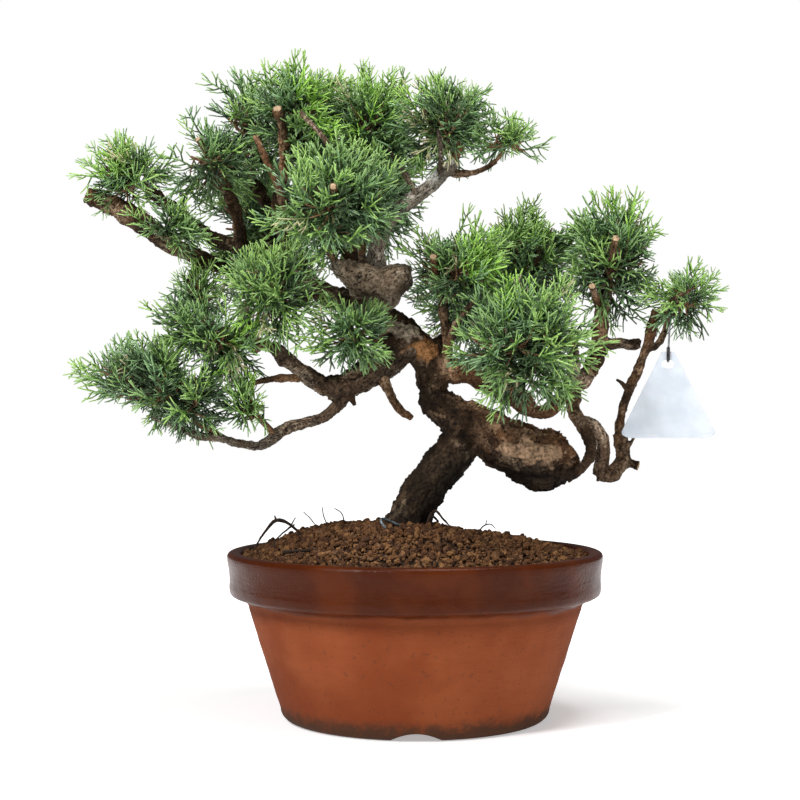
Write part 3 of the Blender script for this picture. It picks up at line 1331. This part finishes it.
@dataclass
class SprigShape:
    """One sprig of the library: an axis with side shoots, most in one plane, that fork again.

    In metres, from the origin along +Z, spread across X and thin along Y.
    """

    length: float
    side_shoots: int
    seed: int
    girth: float = 0.00078

    def shoots(self) -> tuple[Shoots, Shoots]:
        """Work out the shoots: the axis with its sides in turn left and right, then their fingers."""
        chance = np.random.default_rng(self.seed)
        axis_end = np.array([chance.normal(0.0, 0.0015), chance.normal(0.0, 0.0015), self.length])
        bow = np.array([chance.normal(0.0, 0.0010), chance.normal(0.0, 0.0010), 0.0])
        rows = [(np.zeros(3), axis_end, bow, self.girth * 1.05, self.girth * 0.80)]
        finger_rows = []
        first = chance.integers(2)
        for number in range(self.side_shoots):
            share = 0.04 + 0.82 * (number + chance.uniform(-0.3, 0.3)) / self.side_shoots
            hand = 1.0 if (number + first) % 2 else -1.0
            round_axis = chance.normal(0.0, 0.80)
            lean = math.radians(chance.normal(42.0, 8.0))
            run = self.length * (0.54 - 0.18 * share) * chance.uniform(0.78, 1.15)
            start = on_parabola(0.0, axis_end, bow, share)
            out = np.array([hand * math.cos(round_axis), math.sin(round_axis), 0.0])
            way = math.sin(lean) * out + math.cos(lean) * UP
            end = start + run * way
            curl = 0.08 * run * (math.cos(lean) * out - math.sin(lean) * UP)
            rows.append((start, end, curl, self.girth, self.girth * 0.60))
            if chance.uniform() < 0.40:
                place = chance.uniform(0.32, 0.50)
                root = on_parabola(start, end - start, curl, place)
                across = unit(np.cross(way, np.cross(UP, way) + chance.normal(0.0, 0.3, 3)))
                turn = math.radians(chance.uniform(26.0, 36.0)) * (1.0 if number % 4 < 2 else -1.0)
                branch = math.cos(turn) * way + math.sin(turn) * across
                reach = run * chance.uniform(0.38, 0.55)
                finger = (root, root + reach * branch, np.zeros(3), self.girth * 0.9, self.girth * 0.7)
                finger_rows.append(finger)
        return tuple(Shoots(*map(np.array, zip(*table))) for table in (rows, finger_rows))

    def faceted(self) -> Facets:
        """The sprig's mesh: three rings to a shoot, and two to a finger."""
        main, fingers = self.shoots()
        return joined([main.faceted(), fingers.faceted(rings=2)])


@dataclass
class Foliage:
    """All the foliage, grown mass by mass from the limbs' tips."""

    sprays_per_area: float = 2500.0
    sprays_a_branch: int = 4
    hub_reach: float = 0.40
    first_branch: float = 0.4
    twigs_a_spray: float = 6.8
    sprig_spacing: float = 0.0085
    sprigs_a_twig: int = 6
    library: int = 12
    sprig_length: float = 0.029
    stem_tip_radius: float = 0.0020
    limb_clearance: float = 0.0012
    thick_limb: float = 0.0048  # shoots keep clear of limbs thicker than this
    lobes: float = 0.20  # how deep a mass's outline is notched
    deepest: float = 0.62  # the shortest twigs stop this share short of the outline
    shallowness: float = 2.2  # the higher, the more twigs reach it
    shortest_twig: float = 0.004
    twig_radii: tuple[float, float] = (0.00085, 0.00045)
    branch_radii: tuple[float, float] = (0.0015, 0.0009)
    shrinks: tuple[float, ...] = (1.0, 0.85, 0.70, 0.56)  # sizes that a sprig tries until it fits
    probes: tuple[tuple[float, float], ...] = ((1.0, 0.0), (0.65, 1.0), (0.65, -1.0), (0.35, 0.0))
    tone_steps: tuple[float, ...] = (-0.30, 0.02, 0.42)  # where each of the first tones ends
    pale_share: float = 0.03

    def bough_path(self, mass: Mass) -> Array:
        """The route of the bough that carries a mass, up to where its stem leaves."""
        limb = next(limb for limb in LIMBS if limb.name == mass.bough)
        path = limb.path(2)
        return path[: 1 + round(mass.along * (len(path) - 1))]

    def stem_path(self, mass: Mass) -> Array:
        """The stem of a mass: from its bough's tip, bending to the heart of its space."""
        bough = self.bough_path(mass)
        tip, before = bough[-1], bough[-2]
        heart = metres(mass.centre)
        radius = 0.7 * tip[3]
        if mass.along < 1.0:
            return np.array([[*tip[:3], radius], [*heart, self.stem_tip_radius]])
        forward = unit(tip[:3] - before[:3])
        run = lengths(heart - tip[:3])
        bend = tip[:3] + 0.35 * run * forward
        bend = bend + 0.25 * (heart - bend)
        middle = 0.6 * radius + 0.4 * self.stem_tip_radius
        root = tip[:3] - 0.002 * forward
        return np.array([[*root, radius], [*bend, middle], [*heart, self.stem_tip_radius]])

    def wall_between(self, mass: Mass, other: Mass) -> tuple[Array, Array]:
        """The plane between two masses, in proportion to how far each reaches towards the other."""
        start, end = metres(mass.centre), metres(other.centre)
        length = lengths(end - start)
        normal = (end - start) / length
        own = 1.0 / lengths(normal @ turn_of(mass) / metres(mass.reach))
        theirs = 1.0 / lengths(normal @ turn_of(other) / metres(other.reach))
        return start + normal * length * own / (own + theirs), normal

    def space_of(self, mass: Mass) -> Space:
        """The space of one mass."""
        rows = [capsules(limb.path(2), metres(limb.relief) + self.limb_clearance)
                for limb in LIMBS if limb.girth > self.thick_limb]
        walls = [self.wall_between(mass, other) for other in MASSES if other is not mass]
        return Space(metres(mass.centre), metres(mass.reach), turn_of(mass), walls, np.vstack(rows))

    def targets(self, space: Space, turn: float, count: int) -> Array:
        """Points on the lobed skin of a space, each picked as far as can be from those before it."""
        ways = even_directions(3 * count, turn) * space.reach @ space.turn.T
        bumps = layered_noise(unit(ways) * 1.9 + 37.0 * space.centre, 2, 67)
        lobes = 1.0 - self.lobes * clamped(0.5 + 1.4 * bumps)
        skin = space.centre + ways * (space.run_along(ways) * lobes)[:, None]
        picked = [int(np.argmax(skin[:, 2]))]
        distance = lengths(skin - skin[picked[0]])
        while len(picked) < count:
            picked.append(int(np.argmax(distance)))
            distance = np.minimum(distance, lengths(skin - skin[picked[-1]]))
        return skin[picked]

    def grow(self, mass: Mass) -> tuple[Shoots, Scatter]:
        """Grow one mass: stem, branches, twigs towards the skin, and sprigs along each twig."""
        chance = np.random.default_rng(mass.seed)
        space = self.space_of(mass)
        stem = self.stem_path(mass)
        wide, deep, high = space.reach
        sprays = round(self.sprays_per_area * (wide * deep + deep * high + high * wide))
        targets = self.targets(space, chance.uniform(0.0, math.tau), round(self.twigs_a_spray * sprays))
        hubs = targets[:math.ceil(sprays / self.sprays_a_branch) + 2]
        share = self.first_branch + (1.0 - self.first_branch) * (np.arange(len(hubs)) + 1.0) / len(hubs)
        hub_starts = stem[-2, :3] + share[:, None] * (stem[-1, :3] - stem[-2, :3])
        hub_ends = space.centre + self.hub_reach * (hubs - space.centre)
        depth = 1.0 - self.deepest * chance.uniform(0.0, 1.0, len(targets)) ** self.shallowness
        outward = unit(targets - space.centre)
        tips = space.centre + (targets - space.centre) * depth[:, None]
        tips = tips - outward * (0.5 * self.sprig_length)
        near = lengths(tips[:, None] - hub_ends[None]).argmin(axis=1)
        leave = chance.uniform(0.35, 1.0, len(targets))
        starts = hub_starts[near] + leave[:, None] * (hub_ends - hub_starts)[near]
        line = tips - starts
        run = lengths(line)
        bows = chance.normal(0.0, 0.05, line.shape) * run[:, None] - 0.05 * run[:, None] * UP
        samples = np.linspace(0.35, 1.0, 5)[:, None]
        arc = on_parabola(starts[:, None], line[:, None], bows[:, None], samples)
        fits = space.holds(arc) & (run > self.shortest_twig)
        twigs = Shoots.tapering(starts[fits], tips[fits], bows[fits], *self.twig_radii)
        branches = Shoots.tapering(hub_starts, hub_ends, np.zeros_like(hub_ends), *self.branch_radii)
        straight = np.zeros_like(stem[1:, :3])
        stems = Shoots(stem[:-1, :3], stem[1:, :3], straight, stem[:-1, 3], stem[1:, 3])
        sprigs = self.sprigs(space, chance, twigs, outward[fits], depth[fits])
        every = [np.concatenate([getattr(one, name) for one in (stems, branches, twigs)])
                 for name in ("starts", "ends", "bows", "roots", "tips")]
        return Shoots(*every), sprigs

    def sprigs(self, space: Space, chance: np.random.Generator, twigs: Shoots, outward: Array,
               depth: Array) -> Scatter:
        """Set sprigs along the twigs, in turn to either side, each turned outward and up to the light.

        Args:
            space: The mass's space.
            chance: Its random numbers.
            twigs: Its twigs.
            outward: Direction from its heart through each twig's end.
            depth: How near its skin each twig ends, 1 being at it.

        Returns:
            The sprigs that fit.
        """
        line = twigs.ends - twigs.starts
        run = lengths(line)
        counts = np.clip(np.round(run / self.sprig_spacing), 1, self.sprigs_a_twig).astype(int)
        twig = np.repeat(np.arange(len(run)), counts)
        order = np.concatenate([np.arange(count) for count in counts])
        share = 1.0 - order * self.sprig_spacing / run[twig]
        share = np.clip(share - chance.uniform(0.0, 0.06, len(share)), 0.12, 1.0)
        places = on_parabola(twigs.starts[twig], line[twig], twigs.bows[twig], share[:, None])
        forward = unit(line[twig])
        helper = unit(np.cross(forward, UP + 0.01))
        swing = chance.uniform(0.0, math.tau, len(run))[twig] + order * (GOLDEN_ANGLE + math.pi / 3.0)
        sideways = np.cos(swing)[:, None] * helper + np.sin(swing)[:, None] * np.cross(forward, helper)
        ends_twig = (order == 0)[:, None]
        rise = (0.10 + 0.50 * clamped(outward[twig, 2:] + 0.5)) * UP
        way = np.where(ends_twig, forward + 0.45 * sideways + rise,
                       0.45 * forward + 0.95 * sideways + rise)
        way = unit(way + chance.normal(0.0, 0.28, way.shape))
        face = outward[twig] + 0.5 * UP + chance.normal(0.0, 0.45, way.shape)
        turns = turns_towards(way, face)
        kinds = chance.integers(self.library, size=len(way))
        sizes = chance.uniform(0.82, 1.12, len(way)) * np.where(order == 0, 1.0, 0.88)
        wing = 0.34 * turns[:, :, 0]
        settled_sizes = np.zeros(len(way))
        for shrink in self.shrinks:
            tries = sizes * shrink * self.sprig_length
            probe = np.stack([places + (up * way + aside * wing) * tries[:, None]
                              for up, aside in self.probes], axis=1)
            fits = space.holds(probe) & (settled_sizes == 0.0)
            settled_sizes[fits] = sizes[fits] * shrink
        keep = settled_sizes > 0.0
        tones = self.tones(chance, places + way * self.sprig_length, depth[twig] * share, way)
        return Scatter(places[keep], turns[keep], settled_sizes[keep], kinds[keep], tones[keep])

    def tones(self, chance: np.random.Generator, tips: Array, depth: Array, way: Array) -> Array:
        """Number each sprig's Green: deep inside and below, lighter outside and above, fresh in places."""
        patch = layered_noise(tips * 26.0, 2, 61)
        light = 1.7 * (depth - 0.74) + 0.30 * way[:, 2] + 0.8 * patch
        light = light + chance.normal(0.0, 0.25, len(tips))
        tone = np.searchsorted(self.tone_steps, light, side="right")
        for place in FRESH_PLACES:
            close = lengths((tips - place[:3]) * np.array([1.0, 0.6, 1.0]))
            tone = np.where(chance.uniform(0.0, 1.3, len(tips)) * place[3] > close, 4, tone)
        return np.where((chance.uniform(size=len(tips)) < self.pale_share) & (tone > 0), 5, tone)

    def build(self, bark: Material) -> list[Thing]:
        """Grow every mass, and join twigs and shoots into pieces, each kind apart."""
        shapes = [SprigShape(self.sprig_length, 6 + number % 4, 100 + number).faceted()
                  for number in range(self.library)]
        greens = []
        for tone in Green:
            shoot, tip = tone.value
            greens.append(ScaleLeaf(f"leaf_{tone.name.lower()}", shoot).material())
            greens.append(ScaleLeaf(f"leaf_{tone.name.lower()}_tip", tip).material())
        grown = {"foliage_" + mass.name: self.grow(mass) for mass in MASSES}
        pieces = []
        for name, short_names in SHOOT_PIECES.items():
            masses = ["foliage_" + short for short in short_names]
            shoots = joined([grown[mass][1].faceted(shapes, step=2) for mass in masses])
            piece = shown(name, shoots, greens)
            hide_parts(*masses)
            pieces.append(piece)
        twigs = joined([limbs.faceted(rings=4, sides=4) for limbs, _ in grown.values()])
        mottle = layered_noise(twigs.points * 90.0, 2, 71)[:, None]
        tint = clamped(np.array(Bark.YOUNG.tints[0]) * (1.0 + 0.5 * mottle))
        piece = shown("foliage_twigs", twigs, [bark, bark], tint)
        pieces.append(piece)
        return pieces


# ------------ soil


def ball(divisions: int) -> Facets:
    """A ball of unit radius: an icosahedron, each face split in four so many times."""
    ratio = (1.0 + math.sqrt(5.0)) / 2.0
    signs = [(a, b) for a in (-1.0, 1.0) for b in (-1.0, 1.0)]
    points = np.array([place for a, b in signs for place in (
        (0.0, a, b * ratio), (a, b * ratio, 0.0), (b * ratio, 0.0, a))])
    gaps = lengths(points[:, None] - points[None])
    close = np.isclose(gaps, 2.0)
    faces = np.array([(i, j, k) for i in range(12) for j in range(i) for k in range(j)
                      if close[i, j] and close[j, k] and close[i, k]])
    points = unit(points)
    for _ in range(divisions):
        edges = np.sort(np.vstack([faces[:, [0, 1]], faces[:, [1, 2]], faces[:, [2, 0]]]), axis=1)
        edges, place = np.unique(edges, axis=0, return_inverse=True)
        first, second, third = place.reshape(3, -1) + len(points)
        points = np.vstack([points, unit(points[edges].sum(axis=1))])
        corner = faces.T
        faces = np.vstack([np.column_stack(part) for part in (
            (corner[0], first, third), (corner[1], second, first), (corner[2], third, second),
            (first, second, third))])
    first, second, third = points[faces.T]
    inward = (np.cross(second - first, third - first) * first).sum(axis=1) < 0.0
    faces[inward] = faces[inward][:, ::-1]
    return plain(points, faces)


class Granule(Enum):
    """Tones of the granules: the colour, and the share that has it."""

    BROWN = ((0.130, 0.058, 0.023), 0.40)
    DARK = ((0.072, 0.032, 0.015), 0.32)
    TAN = ((0.215, 0.105, 0.042), 0.18)
    DUST = ((0.165, 0.085, 0.042), 0.10)


@dataclass(frozen=True)
class Grade:
    """A grade of granules: how many, how finely faceted, and the least and greatest diameter."""

    name: str
    count: int
    divisions: int
    small: float
    large: float
    seed: int


GRADES = (
    Grade("soil_granules", count=2100, divisions=1, small=0.0030, large=0.0070, seed=5),
    Grade("soil_crumbs", count=6000, divisions=0, small=0.0016, large=0.0042, seed=6),
)


@dataclass
class Soil:
    """The mound of soil that fills the pot, and the granules that lie on it."""

    edge_z: float = 0.1205
    top_z: float = 0.1455
    lean: float = -0.024
    edge_radius: float = 0.1290
    bed_z: float = 0.016
    sink: float = 0.0024  # the bed lies this far below the solid's surface
    rings: int = 10
    spokes: int = 30
    lump: float = 0.0040
    lump_scale: float = 26.0
    lump_edge: float = 0.020
    shapes: int = 10
    shade: Colour = (0.022, 0.011, 0.006)

    def lumps(self, radius: Array, angle: Array) -> Array:
        """Height of the mound's lumps: the solid's noise at its own corners, blended between them."""
        ring, spoke = np.meshgrid(np.linspace(0.0, self.edge_radius, self.rings),
                                  round_angles(self.spokes), indexing="ij")
        corners = np.stack([ring * np.cos(spoke), ring * np.sin(spoke), 0.0 * ring], axis=-1)
        corners = corners.reshape(-1, 3) * self.lump_scale
        level = np.array([noise.noise(corner) for corner in corners]).reshape(ring.shape)
        level = self.lump * level * np.minimum(1.0, (self.edge_radius - ring) / self.lump_edge)
        row = np.clip(radius / self.edge_radius, 0.0, 0.9999) * (self.rings - 1)
        column = (angle % math.tau) / math.tau * self.spokes
        low, left = np.floor(row).astype(int), np.floor(column).astype(int) % self.spokes
        right = (left + 1) % self.spokes
        up, over = row - np.floor(row), column - np.floor(column)
        near = level[low, left] * (1.0 - over) + level[low, right] * over
        far = level[low + 1, left] * (1.0 - over) + level[low + 1, right] * over
        return near * (1.0 - up) + far * up

    def surface(self, radius: Array, angle: Array) -> Array:
        """Points of the mound, whose height falls with the radius as a quarter of a cosine wave."""
        rise = np.cos(0.5 * math.pi * clamped(radius / self.edge_radius))
        x = radius * np.cos(angle) + self.lean * rise
        y = radius * np.sin(angle)
        z = self.edge_z + (self.top_z - self.edge_z) * rise + self.lumps(radius, angle)
        return np.stack([x, y, z], axis=-1)

    def bed(self) -> Facets:
        """The mound as rings of points, its foot drawn in and closed by a flat disc."""
        radius, angle = np.meshgrid(np.linspace(0.0, self.edge_radius, 60)[1:],
                                    round_angles(180), indexing="ij")
        top = self.surface(radius, angle) - self.sink * UP
        wall = np.repeat(top[-1:], 4, axis=0)
        down = np.linspace(0.0, 1.0, 4)[:, None]
        wall[:, :, 2] = wall[:, :, 2] * (1.0 - down) + self.bed_z * down
        wall[:, :, :2] *= (1.0 - 0.32 * down)[:, :, None]
        middle = self.surface(np.zeros(1), np.zeros(1)) - self.sink * UP
        poles = np.vstack([middle, self.bed_z * UP])
        return closed_rings(np.concatenate([top, wall[1:]]), poles, turned_over=True)

    def granule(self, divisions: int, seed: int) -> Facets:
        """A granule of unit size: a ball pushed in and out by noise and flattened a little."""
        shape = ball(divisions)
        push = 0.78 + 0.50 * layered_noise(shape.points * 1.35 + 9.1 * seed, 2, 90 + seed)
        flat = np.array([1.0, 0.84, 0.70])
        return Facets(shape.points * push[:, None] * flat * 0.64, shape.faces)

    def granules(self, grade: Grade) -> Facets:
        """Granules strewn evenly over the mound, turned every way and of many sizes."""
        chance = np.random.default_rng(grade.seed)
        count = grade.count
        diameter = grade.small + (grade.large - grade.small) * chance.uniform(size=count) ** 2.4
        number = np.arange(count) + 0.5
        reach = self.edge_radius - 0.5 * diameter
        radius = np.sqrt(number / count) * reach
        angle = GOLDEN_ANGLE * number + chance.normal(0.0, 0.03, count)
        radius = np.clip(radius + chance.normal(0.0, 0.0012, count), 0.0, reach)
        places = self.surface(radius, angle)
        places[:, 2] += diameter * chance.uniform(-0.42, 0.10, count)
        axes = [unit(chance.normal(size=(count, 3))) for _ in range(2)]
        tones = chance.choice(len(Granule), size=count, p=[tone.value[1] for tone in Granule])
        kinds = chance.integers(self.shapes, size=count)
        library = [self.granule(grade.divisions, grade.seed + kind) for kind in range(self.shapes)]
        return Scatter(places, turns_towards(*axes), diameter, kinds, tones).faceted(library)

    def build(self) -> list[Thing]:
        """Make the bed and its grades of granules."""
        shade = ClayGranule("granule_shade", self.shade).material()
        finishes = [ClayGranule(f"granule_{tone.name.lower()}", tone.value[0]).material()
                    for tone in Granule]
        bed = shown("soil_bed", self.bed(), [shade])
        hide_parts("soil")
        pieces = [bed]
        for grade in GRADES:
            pieces.append(shown(grade.name, self.granules(grade), finishes, smooth=False))
        return pieces


@dataclass
class Litter:
    """Dead roots that stick out of the soil, and the end of a training wire at the trunk's foot."""

    roots: tuple[Route, ...] = (
        ((-78.5, -20, 126, 1.1), (-90, -20, 139, 1), (-102.5, -20, 144, 1.3), (-112, -26, 133.5, 0.9),
         (-118.5, -34, 122.5, 0.7)),
        ((-89.5, -20, 140.5, 0.8), (-94, -28, 137.5, 0.7), (-101.5, -34, 131, 0.6),
         (-102.5, -38, 124, 0.5)),
        ((-102.5, -20, 144, 0.9), (-103.5, -20, 147.5, 0.5)),
        ((-92, -20, 140, 0.7), (-88.5, -18, 145.5, 0.4)),
        ((-70, -12, 132, 0.4), (-75.5, -12, 142, 0.4), (-83, -12, 149.5, 0.3)),
        ((-64, -10, 136, 0.5), (-67.5, -10, 145, 0.4), (-69, -10, 153, 0.3)),
        ((-52, -6, 140, 0.4), (-54.5, -6, 148, 0.4), (-60, -6, 152, 0.3)),
        ((8, -12, 138, 1.3), (11.5, -14, 147.5, 1.1), (15, -16, 150.5, 1), (21.5, -18, 144, 0.8),
         (26, -20, 139.5, 0.5)),
        ((10.5, -12, 139, 1), (13, -10, 146, 0.9), (17.5, -6, 142, 0.7)),
        ((46, -14, 133, 0.6), (50, -14, 139, 0.5), (56, -14, 140.5, 0.4), (59.5, -16, 137.5, 0.3)),
        ((52, -14, 139.5, 0.4), (53.5, -14, 144, 0.3)),
        ((-94, -72, 125, 1.3), (-82, -74, 126.2, 1.2), (-66, -70, 126.8, 0.8)),
    )
    wire: Route = (
        (-10, -26, 140, 1.1), (-22.5, -30, 145.5, 1.1), (-25, -34, 144, 1.1), (-20, -38, 137.5, 1.1),
        (-14, -40, 132, 1.1))
    lift: float = 0.004  # how much higher than their routes the roots and the wire lie
    wander: float = 0.0005
    tint: Colour = (0.040, 0.025, 0.018)

    def build(self) -> list[Thing]:
        """Make the roots as one piece, dark and dry, and the wire as another."""
        dead = joined([tube(smooth_route(metres(route), 5), 8) for route in self.roots])
        dead.points[:, 2] += self.lift
        wander = np.stack([layered_noise(dead.points * 240.0 + 5.0 * axis, 2, 101 + axis)
                           for axis in range(3)], axis=-1)
        dead.points = dead.points + self.wander * wander
        mottle = layered_noise(dead.points * 150.0, 2, 104)[:, None]
        tint = np.array(self.tint) * (1.0 + 0.5 * mottle)
        roots = shown("dead_roots", dead, [BarkFinish("dead_root").material()], tint)
        coil = tube(smooth_route(metres(self.wire), 8), 12)
        coil.points[:, 2] += self.lift
        loop = shown("training_wire", coil,
                     [DullMetal("training_wire", (0.22, 0.25, 0.27), 0.55).material()])
        return [roots, loop]


# ------------ label


@dataclass
class Label:
    """A bare plastic label that hangs from the outermost twig by a wire hook."""

    y: float = -0.0215
    thickness: float = 0.0009
    top_z: float = 0.2722
    top_half: float = 0.0044
    centre_x: float = 0.1860
    foot_z: float = 0.2085
    foot_half: float = 0.0350
    corner: float = 0.0035
    hole_z: float = 0.2630
    hole_radii: tuple[float, float] = (0.0048, 0.0034)
    columns: int = 240
    bow: float = 0.0007
    wire_radius: float = 0.0007
    gap: float = 0.0003
    hook_at: Point = (0.1880, -0.0150, 0.2974)
    hook_half: float = 0.0037
    hook_rise: float = 0.0066

    def outline(self, angles: Array) -> Array:
        """Rows of (x, z) where rays from the hole meet the nearest of the cut-cornered plate's sides."""
        corners = np.array([
            (self.top_half, self.top_z), (-self.top_half, self.top_z),
            (-self.foot_half, self.foot_z + self.corner), (-self.foot_half + self.corner, self.foot_z),
            (self.foot_half - self.corner, self.foot_z), (self.foot_half, self.foot_z + self.corner)])
        heart = np.array([0.0, self.hole_z])
        sides = np.roll(corners, -1, axis=0) - corners
        normals = np.column_stack([sides[:, 1], -sides[:, 0]])
        reach = ((corners - heart) * normals).sum(axis=1)
        normals = normals * np.sign(reach)[:, None]
        ways = np.column_stack([np.cos(angles), np.sin(angles)])
        climb = ways @ normals.T
        distance = np.where(climb > 1e-9, np.abs(reach) / np.where(climb > 1e-9, climb, 1.0), np.inf)
        soft = (distance ** -40.0).sum(axis=1) ** (-1.0 / 40.0)
        return heart + ways * soft[:, None]

    def plate(self) -> Facets:
        """The plate as a ring of sections: front from hole to edge, the edge, back, and the hole's wall.

        A section's point lies at hole + s (edge - hole), bowed by bow * cos(x / 22 mm).
        """
        angles = round_angles(self.columns)
        rim = self.outline(angles)
        wide, high = self.hole_radii
        hole = np.column_stack([wide * np.cos(angles), self.hole_z + high * np.sin(angles)])
        half = self.thickness / 2.0
        out = np.linspace(0.02, 0.995, 16)
        face = np.full(16, half)
        share = np.concatenate([out, [1.0, 1.0], out[::-1], [0.0, 0.0]])
        depth = np.concatenate([-face, [-0.5 * half, 0.5 * half], face, [0.6 * half, -0.6 * half]])
        flat = hole[None] + share[:, None, None] * (rim - hole)[None]
        y = self.y + depth[:, None] + self.bow * (np.cos(flat[:, :, 0] / 0.022) - 1.0)
        points = np.stack([flat[:, :, 0] + self.centre_x, y, flat[:, :, 1]], axis=-1)
        return plain(points, grid_faces(len(share), self.columns, wrap_rows=True))

    def hook_path(self) -> Array:
        """The hook's route: back through the hole, up in front of the plate, and over the twig."""
        x, y, z = self.hook_at
        hang = self.hole_z + self.hole_radii[1] - self.wire_radius - self.gap
        off = self.thickness / 2.0 + self.wire_radius + self.gap
        route = [(self.centre_x, self.y + off, hang + 0.0035), (self.centre_x, self.y + off, hang),
                 (self.centre_x, self.y, hang - 0.0002), (self.centre_x, self.y - off, hang),
                 (self.centre_x, self.y - off, hang + 0.006)]
        for angle in np.linspace(0.0, math.pi, 5):
            route.append((x, y - self.hook_half * math.cos(angle), z + self.hook_rise * math.sin(angle)))
        route.append((x, y + self.hook_half, z - 0.007))
        return smooth_route(np.array([(*point, self.wire_radius) for point in route]), 6)

    def sleeve_path(self) -> Array:
        """A dark sleeve crimped round the wire just above the plate's hole."""
        off = self.thickness / 2.0 + self.wire_radius + self.gap
        heights = np.array([0.2655, 0.2660, 0.2750, 0.2755])
        radii = np.array([0.0009, 0.0013, 0.0013, 0.0009])
        return np.column_stack([np.full(4, self.centre_x), np.full(4, self.y - off), heights, radii])

    def build(self) -> list[Thing]:
        """Make the plate, the hook and its sleeve."""
        plate = shown("label_plate", self.plate(), [PlasticSheet().material()])
        plate.data.set_sharp_from_angle(angle=math.radians(50.0))
        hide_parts("tag")
        metal = DullMetal("hook_wire", (0.22, 0.22, 0.23)).material()
        hook = shown("label_hook", tube(self.hook_path(), 12), [metal])
        sleeve = shown("label_sleeve", tube(self.sleeve_path(), 16),
                       [DullMetal("dark_sleeve", (0.06, 0.06, 0.065), 0.5).material()])
        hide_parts("tag_wire")
        return [plate, hook, sleeve]


# ------------ studio


@dataclass
class Studio:
    """A pale sweep, soft lights, and the camera straight in front of the tree."""

    camera_at: Point = (-0.01123, -1.2727, 0.2366)
    lens: float = 76.5
    floor_half: float = 3.0
    sky_level: float = 0.13  # how much light the plain white surroundings give

    def area_light(self, name: str, place: Point, aim: Point, size: float, power: float) -> None:
        """A square soft light that looks from its place to its aim."""
        lamp = bpy.data.lights.new(name, "AREA")
        lamp.shape = "SQUARE"
        lamp.size = size
        lamp.energy = power
        forward = unit(np.array(aim) - np.array(place))
        matrix = np.eye(4)
        matrix[:3, :3] = turns_towards(-forward[None], UP[None])[0]
        matrix[:3, 3] = place
        placed(name, lamp).matrix_world = Matrix(matrix.tolist())

    def build(self) -> None:
        """Lay the floor, hang the lights, and set the camera and the background."""
        corners = self.floor_half * np.array([(-1, -1, 0), (1, -1, 0), (1, 1, 0), (-1, 1, 0)])
        sweep = plain(corners, np.array([[0, 1, 2, 3]]))
        floor = shown("studio_floor", sweep, [StudioFloor().material()])
        self.area_light("key_light", (-1.1, -1.3, 1.5), (0.0, 0.0, 0.25), 0.42, 39.0)
        self.area_light("top_light", (0.3, -0.2, 1.9), (0.0, 0.0, 0.3), 0.7, 26.0)
        self.area_light("fill_light", (1.4, -1.2, 0.7), (0.0, 0.0, 0.2), 1.2, 5.0)
        world = bpy.data.worlds.new("studio_world")
        world.use_nodes = True
        tree = world.node_tree
        backdrop = tree.nodes["Background"]
        backdrop.inputs["Color"].default_value = (1.0, 1.0, 1.0, 1.0)
        ray = tree.nodes.new("ShaderNodeLightPath")
        level = tree.nodes.new("ShaderNodeMapRange")
        level.inputs["To Min"].default_value = self.sky_level
        level.inputs["To Max"].default_value = 1.0
        tree.links.new(ray.outputs["Is Camera Ray"], level.inputs["Value"])
        tree.links.new(level.outputs["Result"], backdrop.inputs["Strength"])
        bpy.context.scene.world = world
        bpy.context.scene.view_settings.view_transform = "Standard"
        camera = bpy.data.cameras.new("studio_camera")
        camera.lens = self.lens
        camera.clip_start = 0.05
        thing = placed("studio_camera", camera)
        upright = Matrix.Rotation(math.radians(90.0), 4, "X")
        thing.matrix_world = Matrix.Translation(self.camera_at) @ upright
        bpy.context.scene.camera = thing


def main() -> None:
    """Build every sub-assembly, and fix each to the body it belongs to."""
    logging.basicConfig(level=logging.INFO, format="%(relativeCreated)d %(name)s: %(message)s")
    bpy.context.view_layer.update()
    Studio().build()
    bark = BarkFinish().material()
    pieces = [Pot().build(), *Soil().build(), *Litter().build(),
              Wood("trunk_wood", TRUNK_LIMBS, TRUNK_SPURS, columns=48).build(bark),
              Wood("left_boughs", LEFT_LIMBS, LEFT_SPURS, voxel=0.0008, swell=0.0004).build(bark),
              Wood("right_boughs", RIGHT_LIMBS, RIGHT_SPURS, voxel=0.0008, swell=0.0004).build(bark),
              *Foliage().build(bark), *Label().build()]
    for piece in pieces:
        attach(piece, BODY)
        triangles = sum(face.loop_total - 2 for face in piece.data.polygons)
        LOG.info("%s: %d triangles", piece.name, triangles)
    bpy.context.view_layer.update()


if __name__ == "__main__":
    main()
